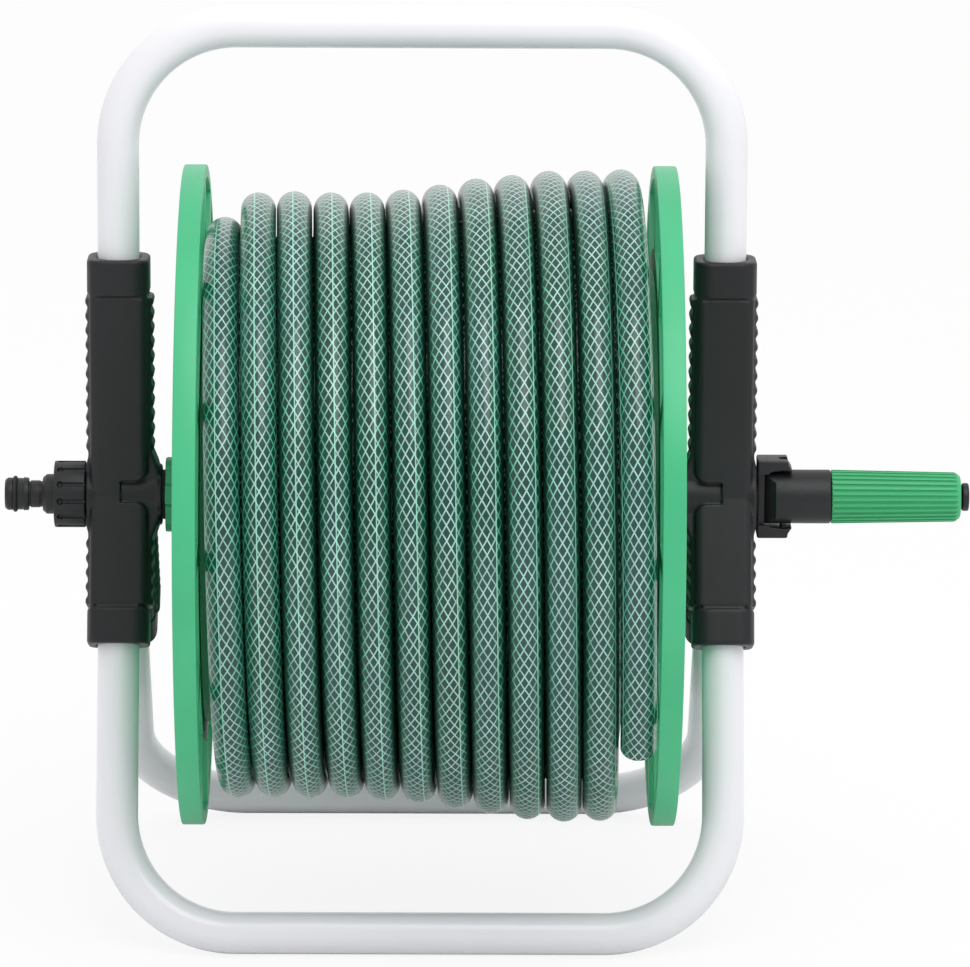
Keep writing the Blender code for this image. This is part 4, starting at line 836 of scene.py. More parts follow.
def swept_tree() -> GeometryTree:
    """Make the tree that sweeps a round section along a line, and stores where each point is.

    The stored vector holds the cosine and sine of the angle round the section, and the length
    along the line in metres.

    Returns:
        The tree, with inputs Radius and Sides.
    """
    made = GeometryTree("round_section_along_a_line", {"Radius": Kind.LENGTH, "Sides": Kind.COUNT})
    line = made.add("GeometryNodeMeshToCurve", {"Mesh": made.given.outputs["Shape"]})
    length = made.add("GeometryNodeSplineParameter")
    rail = made.add("GeometryNodeCaptureAttribute", {"Geometry": line.outputs[0]})
    rail.capture_items.new("FLOAT", "Length")
    made.tree.links.new(length.outputs["Length"], rail.inputs["Length"])
    ring = made.add("GeometryNodeCurvePrimitiveCircle", {"Resolution": made.given.outputs["Sides"],
                                                         "Radius": made.given.outputs["Radius"]})
    spot = made.add("GeometryNodeInputPosition")
    unit = made.add("ShaderNodeVectorMath", {0: spot.outputs[0]}, operation="NORMALIZE")
    section = made.add("GeometryNodeCaptureAttribute", {"Geometry": ring.outputs[0]})
    section.capture_items.new("VECTOR", "Way")
    made.tree.links.new(unit.outputs[0], section.inputs["Way"])
    tube = made.add("GeometryNodeCurveToMesh", {"Curve": rail.outputs["Geometry"],
                                                "Profile Curve": section.outputs["Geometry"],
                                                "Fill Caps": True})
    way = made.add("ShaderNodeSeparateXYZ", {0: section.outputs["Way"]})
    stored = made.add("ShaderNodeCombineXYZ", {"X": way.outputs["X"], "Y": way.outputs["Y"],
                                               "Z": rail.outputs["Length"]})
    named = made.add("GeometryNodeStoreNamedAttribute", {"Geometry": tube.outputs[0],
                                                         "Name": HOSE_VINYL.attribute,
                                                         "Value": stored.outputs[0]},
                     data_type="FLOAT_VECTOR", domain="POINT")
    made.close(named.outputs[0])
    return made


def repeat_tree(use: Repeat) -> GeometryTree:
    """Make the tree that repeats a piece by a step, a turn about the axle, or both.

    Args:
        use: What the repeated pieces do to the shape that goes in.

    Returns:
        The tree, with inputs Piece, Count, Step, Turn and Centre.
    """
    made = GeometryTree("repeat_and_" + use.name.lower(),
                        {"Piece": Kind.PIECE, "Count": Kind.COUNT, "Step": Kind.VECTOR, "Turn": Kind.LENGTH,
                         "Centre": Kind.VECTOR})
    given = made.given.outputs
    places = made.add("GeometryNodeMeshLine", {"Count": given["Count"], "Offset": given["Step"]},
                      mode="OFFSET")
    index = made.add("GeometryNodeInputIndex")
    angle = made.add("ShaderNodeMath", {0: index.outputs[0], 1: given["Turn"]}, operation="MULTIPLY")
    turn = made.add("ShaderNodeCombineXYZ", {"X": angle.outputs[0]})
    piece = made.add("GeometryNodeObjectInfo", {"Object": given["Piece"]}, transform_space="ORIGINAL")
    copies = made.add("GeometryNodeInstanceOnPoints", {"Points": places.outputs["Mesh"],
                                                       "Instance": piece.outputs["Geometry"],
                                                       "Rotation": turn.outputs[0]})
    moved = made.add("GeometryNodeTransform", {"Geometry": copies.outputs[0],
                                               "Translation": given["Centre"]})
    if use is Repeat.STAND:
        made.close(moved.outputs[0])
        return made
    real = made.add("GeometryNodeRealizeInstances", {"Geometry": moved.outputs[0]})
    both = made.add("GeometryNodeMeshBoolean", operation=use.value, solver="EXACT")
    if use is Repeat.CUT:
        made.tree.links.new(given["Shape"], both.inputs["Mesh 1"])
        made.tree.links.new(real.outputs[0], both.inputs["Mesh 2"])
    else:
        for source in (given["Shape"], real.outputs[0]):
            made.tree.links.new(source, both.inputs["Mesh 2"])
    made.close(both.outputs["Mesh"])
    return made


def scatter_tree() -> GeometryTree:
    """Make the tree that sets a piece on each point, its +Z along the point's stored way out.

    Returns:
        The tree, with the input Piece.
    """
    made = GeometryTree("piece_on_each_point", {"Piece": Kind.PIECE})
    out = made.add("GeometryNodeInputNamedAttribute", {"Name": "way_out"}, data_type="FLOAT_VECTOR")
    aimed = made.add("FunctionNodeAlignRotationToVector", {"Vector": out.outputs[0]}, axis="Z")
    piece = made.add("GeometryNodeObjectInfo", {"Object": made.given.outputs["Piece"]},
                     transform_space="ORIGINAL")
    copies = made.add("GeometryNodeInstanceOnPoints", {"Points": made.given.outputs["Shape"],
                                                       "Instance": piece.outputs["Geometry"],
                                                       "Rotation": aimed.outputs[0]})
    made.close(copies.outputs[0])
    return made


@dataclass
class Trees:
    """The geometry trees that the sub-assemblies share."""

    swept: GeometryTree = field(default_factory=swept_tree)
    repeat: GeometryTree = field(default_factory=lambda: repeat_tree(Repeat.STAND))
    cut: GeometryTree = field(default_factory=lambda: repeat_tree(Repeat.CUT))
    join: GeometryTree = field(default_factory=lambda: repeat_tree(Repeat.JOIN))
    scatter: GeometryTree = field(default_factory=scatter_tree)

    def swept_line(self, name: str, points: Sequence[Vector], radius: float, sides: int,
                   finish: Finish) -> bpy.types.Object:
        """Sweep a round section along points.

        Args:
            name: The piece's name.
            points: The line's points.
            radius: The section's radius.
            sides: The section's sides.
            finish: The finish.

        Returns:
            The new piece.
        """
        mesh = bpy.data.meshes.new(name)
        mesh.from_pydata([tuple(p) for p in points], [(i, i + 1) for i in range(len(points) - 1)], [])
        made = self.swept.apply(link(name, mesh), finish, Radius=radius, Sides=sides)
        return shade(made, 40.0)


# Sub-assemblies


class Arm(Enum):
    """A bracket's arms: lean back from straight up, arm length and reach of its tube."""

    HANDLE = (math.radians(2.0), 0.1100, 0.2150)
    FRONT_FOOT = (math.pi + math.radians(20.5), 0.0730, 0.199989)
    REAR_FOOT = (math.pi - math.radians(40.0), 0.1000, 0.244534)

    @property
    def lean(self) -> float:
        """The arm's lean in radians."""
        return self.value[0]

    @property
    def length(self) -> float:
        """The arm's length from the axle to its mouth."""
        return self.value[1]

    @property
    def reach(self) -> float:
        """The distance from the axle to the tube's bar."""
        return self.value[2]

    def way(self) -> Vector:
        """Return the arm's direction from the axle."""
        return Vector((0.0, math.sin(self.lean), math.cos(self.lean)))

    def place(self, x: float) -> Matrix:
        """Return the arm's frame: local X along the axle and local Y along the arm.

        Args:
            x: The frame's place along the axle.

        Returns:
            The frame's matrix.
        """
        across = Vector((1.0, 0.0, 0.0))
        turn = Matrix((across, self.way(), across.cross(self.way()))).transposed().to_4x4()
        return Matrix.Translation(Vector((x, AXLE_Y, AXLE_Z))) @ turn


@dataclass
class TubeFrame:
    """The three bent steel tubes: carry handle, front foot and rear foot."""

    trees: Trees
    radius: float = 0.0095
    bend: float = 0.0540
    bend_steps: int = 28
    socket_depth: float = 0.0420
    sides: int = 40

    def route(self, arm: Arm) -> list[Vector]:
        """Return a tube's centre line, from one socket round to the other.

        Args:
            arm: The arm whose tube it is.

        Returns:
            The line's points.
        """
        half = FRAME_HALF_WIDTH
        start = arm.length - self.socket_depth
        left = arc((self.bend - half, arm.reach - self.bend), self.bend, math.pi, math.pi / 2,
                   self.bend_steps)
        right = arc((half - self.bend, arm.reach - self.bend), self.bend, math.pi / 2, 0.0, self.bend_steps)
        flat = [(-half, start), *left, *right, (half, start)]
        return [arm.place(0.0) @ Vector((x, y, 0.0)) for x, y in flat]

    def build(self) -> list[bpy.types.Object]:
        """Build the three tubes in place of the CAD's faceted ones.

        Returns:
            The tubes.
        """
        made = []
        for arm in Arm:
            name = arm.name.lower() + "_tube"
            tube = self.trees.swept_line("enamelled_" + name, self.route(arm), self.radius, self.sides,
                                         WHITE_ENAMEL)
            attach(tube, "frame")
            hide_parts(name)
            made.append(tube)
        return made


@dataclass
class SideBracket:
    """One moulded bracket: an axle boss and three ribbed arms with tube sockets."""

    trees: Trees
    side: int
    arm_width: float = 0.0262
    arm_depth: float = 0.0262
    arm_edge: float = 0.0007
    arm_corner: float = 0.0038
    notch_corner: float = 0.0057
    collar_width: float = 0.0284
    collar_length: float = 0.0166
    collar_corner: float = 0.0085
    groove: float = 0.0012
    neck_width: float = 0.0250
    socket_radius: float = 0.0098
    socket_depth: float = 0.0400
    boss_radius: float = 0.0126
    boss_flush_radius: float = 0.0131
    boss_end_radius: float = 0.0140
    flare_reach: float = 0.0191
    rib_half_width: float = 0.0151
    drum_side_extra: float = 0.0009
    rib_height: float = 0.0011
    rib_pitch: float = 0.0065
    rib_depth: float = 0.0186
    rib_radius: float = 0.0031
    rib_start: float = 0.0202
    seat_radius: float = 0.0038
    seat_floor: float = 0.0119
    screw_inset: float = 0.0290
    left_bore: float = 0.0076
    right_bore: float = 0.0094
    voxel: float = 0.00055

    def start(self, arm: Arm) -> float:
        """Return how far from the axle an arm's plate starts."""
        return {Arm.HANDLE: 0.0086, Arm.FRONT_FOOT: 0.0054, Arm.REAR_FOOT: 0.0062}[arm]

    def overlap(self, arm: Arm) -> float:
        """Return how far an arm's plate runs past the axle, inside the other plates."""
        return {Arm.HANDLE: 0.0040, Arm.FRONT_FOOT: 0.0030, Arm.REAR_FOOT: 0.0}[arm]

    def half_width(self, side: int) -> float:
        """Return how far the ribs reach to a side of an arm."""
        return self.rib_half_width + (self.drum_side_extra if side == -self.side else 0.0)

    def mouth(self, arm: Arm) -> float:
        """Return how far from the axle an arm's socket opens."""
        return arm.length - (0.0035 if arm is Arm.FRONT_FOOT else 0.0)

    @property
    def name(self) -> str:
        """The CAD node that this bracket stands for."""
        return ("left" if self.side < 0 else "right") + "_bracket"

    def plate(self, arm: Arm) -> bpy.types.Object:
        """Make an arm's smooth body, notched round on the drum side where the boss shows.

        Args:
            arm: The arm.

        Returns:
            The body.
        """
        half = self.arm_width / 2
        corner = self.notch_corner
        top = self.mouth(arm) - 0.0030
        low = self.start(arm)
        drum = -self.side
        length = top + self.overlap(arm)
        made = slab(f"{self.name}_{arm.name}_plate", [self.square(self.arm_width, self.arm_corner)],
                    length / 2, self.across(arm, top - length / 2), self.arm_edge, 2)
        turn = arc((half - corner, low + corner), corner, -math.pi / 2, 0.0, 8)
        middle, wide, past = 0.0006, half + 0.0100, -0.0400
        outline = [(middle, past), (middle, low), *turn, (wide, low + corner), (wide, past)]
        notch = slab("notch", [[(drum * x, y) for x, y in outline]], self.arm_depth,
                     arm.place(self.side * FRAME_HALF_WIDTH))
        return combine(made, [notch], "DIFFERENCE")

    def cheek(self, arm: Arm) -> bpy.types.Object:
        """Make the narrower slab that carries the ribs and flares into the boss.

        Args:
            arm: The arm.

        Returns:
            The slab.
        """
        drum = -self.side
        near = self.half_width(drum) - self.rib_height
        far = self.half_width(-drum) - self.rib_height
        end = self.mouth(arm) - self.collar_length
        inner = [(self.flare_reach, 0.0030), (self.flare_reach - 0.0003, 0.0100),
                 (self.flare_reach - 0.0016, 0.0150), (near + 0.0009, self.rib_start - 0.0010),
                 (near, self.rib_start + 0.0010), (near, end)]
        outline = [(drum * width, along) for width, along in inner]
        root = far + 0.0013
        outline += [(-drum * width, along)
                    for width, along in ((far, end), (far, 0.0190), (root, 0.0140), (root, 0.0030))]
        return slab(f"{self.name}_{arm.name}_cheek", [rounded(outline, 0.0030)], self.rib_depth / 2,
                    arm.place(self.side * FRAME_HALF_WIDTH), 0.0012, 2)

    def ribs(self, arm: Arm) -> list[bpy.types.Object]:
        """Make the rows of rounded ribs on both sides of an arm.

        Args:
            arm: The arm.

        Returns:
            The two rows.
        """
        first = self.rib_start
        last = self.mouth(arm) - self.collar_length + 0.0002
        count = max(1, round((last - first) / self.rib_pitch))
        pitch = (last - first) / count
        half = self.rib_depth / 2
        cap = arc((half - self.rib_radius, 0.0), self.rib_radius, 0.0, math.pi / 2, 6)
        profile = [(x, max(0.0, r)) for x, r in cap] + [(-x, max(0.0, r)) for x, r in reversed(cap)]
        profile[0] = (half, 0.0)
        profile[-1] = (-half, 0.0)
        rows = []
        for side in (-1, 1):
            centre = self.half_width(side) - self.rib_radius
            turn = arm.place(0.0).to_3x3().to_4x4()
            bead = lathe("rib_bead", profile, 24, turn)
            spot = arm.place(self.side * FRAME_HALF_WIDTH) @ Vector((side * centre, first + pitch / 2, 0.0))
            row = link(f"{self.name}_{arm.name}_ribs_{side}", bpy.data.meshes.new("rib_row"))
            self.trees.repeat.apply(row, BLACK_MOULDING, Piece=bead, Count=count,
                                    Step=tuple(arm.way() * pitch), Turn=0.0, Centre=tuple(spot))
            discard(bead)
            rows.append(row)
        return rows

    def square(self, width: float, corner: float) -> list[Point]:
        """Return a rounded square about the arm's centre line."""
        half = width / 2
        return rounded([(-half, -half), (half, -half), (half, half), (-half, half)], corner, 8)

    def across(self, arm: Arm, along: float) -> Matrix:
        """Return the plane across an arm at a distance from the axle."""
        turn = Matrix.Rotation(-math.pi / 2, 4, "X")
        return arm.place(self.side * FRAME_HALF_WIDTH) @ turn @ Matrix.Translation((0.0, 0.0, along))

    def collar(self, arm: Arm) -> bpy.types.Object:
        """Make the collar round a socket's mouth.

        Args:
            arm: The arm.

        Returns:
            The collar.
        """
        place = self.across(arm, self.mouth(arm) - self.collar_length / 2)
        return slab(f"{self.name}_{arm.name}_collar", [self.square(self.collar_width, self.collar_corner)],
                    self.collar_length / 2, place, 0.0014, 3)

    def boss(self) -> bpy.types.Object:
        """Make the axle boss: flush with the arms on its outer side and slimmer towards the drum.

        Returns:
            The boss.
        """
        slim, flush, wide = self.boss_radius, self.boss_flush_radius, self.boss_end_radius
        step_x = FRAME_HALF_WIDTH - 0.0004
        bend = wide - slim
        flare = [(BOSS_INNER_X + 0.0008 + 1.8 * bend * (1.0 - math.cos(a)), wide - bend * math.sin(a))
                 for a in np.linspace(0.0, math.pi / 2, 7)]
        profile = [(BOSS_INNER_X, 0.0), (BOSS_INNER_X, wide - 0.0005), *flare, (step_x, slim),
                   (step_x + 0.0003, flush - 0.0002), (step_x + 0.0008, flush),
                   (FRAME_HALF_WIDTH + 0.0082, flush), (FRAME_HALF_WIDTH + 0.0112, flush + 0.0003),
                   (BRACKET_OUTER_X - 0.0018, wide - 0.0002), (BRACKET_OUTER_X - 0.0006, wide),
                   (BRACKET_OUTER_X, wide - 0.0006), (BRACKET_OUTER_X, 0.0)]
        return lathe(f"{self.name}_boss", profile, 96, placed(on_axle(0.0), (self.side, 0.0, 0.0)))

    def cutters(self) -> list[bpy.types.Object]:
        """Make the cutters of the sockets, the screw seats and the bore.

        Returns:
            The cutters.
        """
        root = Vector((self.side * FRAME_HALF_WIDTH, AXLE_Y, AXLE_Z))
        made = []
        for arm in Arm:
            depth = self.mouth(arm) - self.socket_depth
            ring = [self.square(self.collar_width + 0.0060, 0.0100), self.square(self.neck_width, 0.0060)]
            made.append(slab("groove", ring, self.groove / 2,
                             self.across(arm, self.mouth(arm) - self.collar_length - self.groove / 2)))
            profile = [(0.0, 0.0), (0.0, self.socket_radius),
                       (self.socket_depth - 0.0010, self.socket_radius),
                       (self.socket_depth, self.socket_radius + 0.0009),
                       (self.socket_depth + 0.0020, self.socket_radius + 0.0009),
                       (self.socket_depth + 0.0020, 0.0)]
            made.append(lathe("socket", profile, 64, placed(root + depth * arm.way(), arm.way())))
            out = Vector((self.side, 0.0, 0.0))
            line = root + (arm.length - self.screw_inset) * arm.way()
            made.append(rod("seat", line + self.seat_floor * out, line + 0.0300 * out, self.seat_radius, 32))
            made.append(rod("hole", line + 0.0070 * out, line + 0.0125 * out, 0.0019, 24))
        bore = self.left_bore if self.side < 0 else self.right_bore
        made.append(rod("bore", on_axle(self.side * (BOSS_INNER_X - 0.005)),
                        on_axle(self.side * (BRACKET_OUTER_X + 0.005)), bore, 64))
        return made

    def build(self) -> bpy.types.Object:
        """Fuse the bracket's parts as one moulding with soft inner corners.

        Returns:
            The bracket.
        """
        parts = [self.boss()]
        for arm in Arm:
            parts += [self.plate(arm), self.cheek(arm), *self.ribs(arm), self.collar(arm)]
        body = merged("moulded_" + self.name, parts)
        combine(body, [merged("bracket_cutters", self.cutters())], "DIFFERENCE", crossing=True)
        fuse = body.modifiers.new("Fuse", "REMESH")
        fuse.mode = "VOXEL"
        fuse.voxel_size = self.voxel
        soften = body.modifiers.new("Soften", "SMOOTH")
        soften.factor = 0.5
        soften.iterations = 2
        thin = body.modifiers.new("Thin", "DECIMATE")
        thin.ratio = 0.55
        bake(body)
        BLACK_MOULDING.dress(body)
        shade(body, 50.0)
        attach(body, "frame")
        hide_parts(self.name)
        return body


@dataclass
class TubeScrews:
    """The six self-tapping screws that hold the tubes in the brackets."""

    trees: Trees
    head_radius: float = 0.0031
    head_height: float = 0.0020
    shank_radius: float = 0.0016
    length: float = 0.0080
    inset: float = 0.0290
    seat: float = 0.0122
    recess_width: float = 0.0009
    recess_depth: float = 0.0012

    def screw(self) -> bpy.types.Object:
        """Make one pan-head screw with a cross recess, its seat at the origin.

        Returns:
            The screw.
        """
        head = self.head_radius
        top = self.head_height
        dome = [(top * math.cos(a), head * math.sin(a)) for a in np.linspace(0.0, math.pi / 2, 7)]
        dome[0] = (top, 0.0)
        profile = [*dome, (0.0, head * 0.96), (0.0, self.shank_radius),
                   (-self.length + self.shank_radius, self.shank_radius), (-self.length, 0.0)]
        made = lathe("tube_screw", profile, 24, Matrix.Identity(4))
        reach = head * 0.55
        width = self.recess_width / 2
        cross = [(width, width), (reach, width), (reach, -width), (width, -width), (width, -reach),
                 (-width, -reach), (-width, -width), (-reach, -width), (-reach, width), (-width, width),
                 (-width, reach), (width, reach)]
        place = Matrix.Translation((0.0, 0.0, top))
        return combine(made, [slab("recess", [cross], self.recess_depth, place)], "DIFFERENCE")

    def build(self) -> bpy.types.Object:
        """Set a screw on each of the six seats.

        Returns:
            The screws, as one piece.
        """
        spots = []
        ways = []
        for side in (-1, 1):
            for arm in Arm:
                spots.append(Vector((side * (FRAME_HALF_WIDTH + self.seat), AXLE_Y, AXLE_Z))
                             + (arm.length - self.inset) * arm.way())
                ways.append((float(side), 0.0, 0.0))
        mesh = bpy.data.meshes.new("tube_screws")
        mesh.from_pydata([tuple(spot) for spot in spots], [], [])
        stored = mesh.attributes.new("way_out", "FLOAT_VECTOR", "POINT")
        for target, way in zip(stored.data, ways):
            target.vector = way
        made = link("tube_screws", mesh)
        one = self.screw()
        self.trees.scatter.apply(made, ZINC, Piece=one)
        discard(one)
        shade(made, 35.0)
        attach(made, "frame")
        names = [f"{side}_{arm.name.lower()}_screw" for side in ("left", "right") for arm in Arm]
        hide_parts(*names)
        return made


@dataclass
class Inlet:
    """The water inlet: a hand nut, and the quick-connect nipple with its ring."""

    trees: Trees
    nut_low: float = -0.15299
    nut_high: float = -0.16719
    nut_end: float = -0.17259
    nut_radius: float = 0.0152
    neck_radius: float = 0.0091
    grooves: int = 12
    groove_radius: float = 0.0010
    groove_depth: float = 0.0011
    groove_setback: float = 0.0020
    bore_radius: float = 0.0104
    nipple_neck: float = 0.0062
    nipple_head: float = 0.0074
    nipple_end: float = -0.18979
    nipple_bore: float = 0.0042
    captive_low: float = -0.16129
    captive_high: float = -0.16349
    captive_radius: float = 0.0094
    ring_section: float = 0.0010
    ring_setback: float = 0.0046
    ring_seat_depth: float = 0.0012
    gap_ring_outer_x: float = -0.11805
    gap_ring_inner_x: float = -0.11660

    def nut(self) -> bpy.types.Object:
        """Make the nut: broad lands with narrow grooves that end round.

        Returns:
            The nut.
        """
        low, high, end = self.nut_low, self.nut_high, self.nut_end
        hole = self.nipple_neck + 0.0004
        profile = [(low, self.bore_radius), (low, self.nut_radius), (high, self.nut_radius),
                   (high, self.neck_radius), (high - 0.0036, self.neck_radius),
                   (end, self.nipple_neck + 0.0014), (end, hole), (high + 0.0060, hole),
                   (high + 0.0060, self.bore_radius)]
        body = lathe("hand_nut", rounded(profile, 0.0007, 3), 120, ALONG_AXLE)
        start = high + self.groove_setback + self.groove_radius
        finish = low + 0.0030
        r = self.groove_radius
        ball = r * 1.55
        nose = arc((0.0, 0.0), ball, math.pi, math.asin(r / ball), 9)
        shape = [(start + x, max(0.0, y)) for x, y in nose]
        shape[0] = (start - ball, 0.0)
        cutter = lathe("nut_groove", [*shape, (finish, r), (finish, 0.0)], 20,
                       Matrix.Translation((0.0, -(self.nut_radius + r - self.groove_depth), 0.0))
                       @ placed(Vector((0.0, 0.0, 0.0)), (1.0, 0.0, 0.0)))
        self.trees.cut.apply(body, BLACK_MOULDING, Piece=cutter, Count=self.grooves, Step=(0.0, 0.0, 0.0),
                             Turn=math.tau / self.grooves, Centre=tuple(AXLE))
        discard(cutter)
        return shade(body, 30.0)

    def nipple(self) -> bpy.types.Object:
        """Make the nipple with its head, ring seat, neck and captive flange.

        Returns:
            The nipple.
        """
        end, head, neck = self.nipple_end, self.nipple_head, self.nipple_neck
        neck_x = self.nut_end - 0.0064
        ring_x = end + self.ring_setback
        half = self.ring_section * 1.1
        seat = head - self.ring_seat_depth
        profile = [(self.captive_low, self.captive_radius), (self.captive_high, self.captive_radius),
                   (self.captive_high, neck), (self.nut_end + 0.0010, neck),
                   (self.nut_end - 0.0006, neck - 0.0004), (self.nut_end - 0.0016, neck),
                   (neck_x + 0.0009, neck), (neck_x + 0.0008, neck - 0.0005),
                   (neck_x + 0.0001, neck - 0.0005), (neck_x, head), (neck_x - 0.0022, head + 0.0002),
                   (neck_x - 0.0026, head - 0.0002), (ring_x + half, head - 0.0001), (ring_x + half, seat),
                   (ring_x - half, seat), (ring_x - half, head), (end + 0.0012, head), (end, head - 0.0010),
                   (end, self.nipple_bore), (self.captive_low, self.nipple_bore)]
        made = lathe("quick_connect_nipple", rounded(profile, 0.0003, 2), 64,
                     ALONG_AXLE)
        BLACK_MOULDING.dress(made)
        return shade(made, 28.0)

    def ring(self) -> bpy.types.Object:
        """Make the rubber ring in the nipple's seat.

        Returns:
            The ring.
        """
        r = self.ring_section
        centre = (self.nipple_end + self.ring_setback, self.nipple_head - self.ring_seat_depth + r + 0.0001)
        section = arc(centre, r, 0.0, math.tau, 12)[:-1]
        made = lathe("rubber_ring", section, 64, ALONG_AXLE)
        SEAL_RUBBER.dress(made)
        return shade(made, 60.0)

    def dust_ring(self) -> bpy.types.Object:
        """Make the black rubber ring that closes the gap between the left boss and the drum's hub, so that
        the gap shows dark.

        Returns:
            The ring.
        """
        low, high = self.gap_ring_outer_x, self.gap_ring_inner_x
        profile = [(low, 0.0099), (low, 0.0112), (high - 0.0003, 0.0114), (high, 0.0111), (high, 0.0099)]
        made = lathe("dust_ring", profile, 64, ALONG_AXLE)
        SEAL_RUBBER.dress(made)
        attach(made, "frame")
        return shade(made, 35.0)

    def build(self) -> list[bpy.types.Object]:
        """Build the inlet's pieces and the black ring in the gap behind them.

        Returns:
            The pieces.
        """
        made = [self.dust_ring()]
        for piece, node in ((self.nut(), "inlet_nut"), (self.nipple(), "inlet_nipple"),
                            (self.ring(), "nipple_ring")):
            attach(piece, "frame")
            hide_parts(node)
            made.append(piece)
        return made


@dataclass
class DrumFlange:
    """One flange: a web with windows between spokes, a deep rim and a hub."""

    trees: Trees
    side: int
    radius: float = 0.1505
    rim_width: float = 0.0102
    rim_thickness: float = 0.0036
    web: float = 0.0026
    stiffener_radius: float = 0.1085
    stiffener_width: float = 0.0024
    stiffener_height: float = 0.0044
    windows: int = 12
    window_inner: float = 0.1130
    window_outer: float = 0.1449
    spoke_width: float = 0.0090
    window_corner: float = 0.0045
    ribs: int = 6
    rib_width: float = 0.0024
    spigot_radius: float = 0.1008
    spigot_length: float = 0.0080
    spigot_wall: float = 0.0020
    elbow_hole: float = 0.0129
    hub_radius: float = 0.0170
    hub_rise: float = 0.0122
    hub_depth: float = 0.0064
    collar_seat_radius: float = 0.0208
    socket_start: float = 0.10359
    socket_radius: float = 0.0070
    pilot_radius: float = 0.0023
    steps: int = 192

    @property
    def name(self) -> str:
        """The CAD node that this flange stands for."""
        return ("left" if self.side < 0 else "right") + "_flange"

    @property
    def face_x(self) -> float:
        """The flange's inner face along the axle."""
        return LEFT_FACE_X if self.side < 0 else RIGHT_FACE_X

    def profile(self) -> list[Point]:
        """Return the flange's (height, radius) outline, its height out from the inner face.

        Returns:
            The outline.
        """
        web, rim, stiff = self.web, self.radius - self.rim_thickness, self.stiffener_radius
        ring = [(web, stiff - self.stiffener_width), (web + self.stiffener_height,
                                                      stiff - self.stiffener_width + 0.0003),
                (web + self.stiffener_height, stiff - 0.0003), (web, stiff), (web, rim),
                (self.rim_width, rim + 0.0005), (self.rim_width, self.radius), (0.0, self.radius),
                (0.0, self.spigot_radius), (-self.spigot_length, self.spigot_radius - 0.0003),
                (-self.spigot_length, self.spigot_radius - self.spigot_wall),
                (0.0, self.spigot_radius - self.spigot_wall)]
        if self.side < 0:
            return rounded([(0.0, self.elbow_hole), (web, self.elbow_hole), *ring], 0.0008, 3)
        hub = [(self.hub_rise, 0.0), (self.hub_rise, self.hub_radius), (web, self.hub_radius + 0.0010)]
        inside = [(0.0, self.hub_radius + 0.0010), (-self.hub_depth, self.hub_radius), (-self.hub_depth, 0.0)]
        return rounded([*hub, *ring, *inside], 0.0008, 3, closed=False)

    def window(self) -> bpy.types.Object:
        """Make the cutter of one window, about the world's X axis.

        Returns:
            The cutter.
        """
        step = math.pi / self.windows
        corners = []
        for radius, way in ((self.window_outer, 1), (self.window_inner, -1)):
            half = step - math.asin(self.spoke_width / 2 / radius)
            corners += arc((0.0, 0.0), radius, step - way * half, step + way * half, 14)
        outline = rounded(corners, self.window_corner, 6)
        return slab("window_cutter", [outline], self.web * 2,
                    placed(Vector((0.0, 0.0, 0.0)), (1.0, 0.0, 0.0)))

    def rib(self) -> bpy.types.Object:
        """Make one radial rib of the web, tapered towards its top for the mould's draft.

        Returns:
            The rib.
        """
        inner = (self.collar_seat_radius if self.side < 0 else self.hub_radius) - 0.0010
        outer = self.stiffener_radius - self.stiffener_width / 2
        half = self.rib_width / 2
        low, high = self.web / 2, self.web + self.stiffener_height
        section = [(low, -half), (high - 0.0004, -half * 0.75), (high, -half * 0.5), (high, half * 0.5),
                   (high - 0.0004, half * 0.75), (low, half)]
        shape = bmesh.new()
        rings = [[shape.verts.new((self.side * x, y, z)) for x, y in section] for z in (inner, outer)]
        for index in range(len(section)):
            after = (index + 1) % len(section)
            shape.faces.new((rings[0][index], rings[0][after], rings[1][after], rings[1][index]))
        shape.faces.new(rings[0])
        shape.faces.new(rings[1][::-1])
        bmesh.ops.recalc_face_normals(shape, faces=shape.faces)
        mesh = bpy.data.meshes.new("web_rib")
        shape.to_mesh(mesh)
        shape.free()
        return link("web_rib", mesh)

    def build(self) -> bpy.types.Object:
        """Turn the flange, repeat its ribs and cut its windows.

        Returns:
            The flange.
        """
        body = lathe("moulded_" + self.name, self.profile(), self.steps,
                     placed(on_axle(self.face_x), (self.side, 0, 0)))
        centre = tuple(on_axle(self.face_x))
        rib = self.rib()
        self.trees.join.apply(body, GREEN_MOULDING, Piece=rib, Count=self.ribs, Step=(0.0, 0.0, 0.0),
                              Turn=math.tau / self.ribs, Centre=centre)
        window = self.window()
        self.trees.cut.apply(body, GREEN_MOULDING, Piece=window, Count=self.windows, Step=(0.0, 0.0, 0.0),
                             Turn=math.tau / self.windows, Centre=centre)
        discard(rib, window)
        if self.side > 0:
            low = on_axle(self.face_x - self.hub_depth - 0.0050)
            top = on_axle(self.face_x + self.hub_rise + 0.0050)
            socket = rod("hex_socket", on_axle(self.socket_start), top, self.socket_radius, 6)
            combine(body, [socket, rod("pilot", low, top, self.pilot_radius, 24)], "DIFFERENCE")
            body.data.materials.clear()
            body.data.materials.append(GREEN_MOULDING.material())
        shade(body, 30.0)
        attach(body, "drum")
        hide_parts(self.name)
        return body


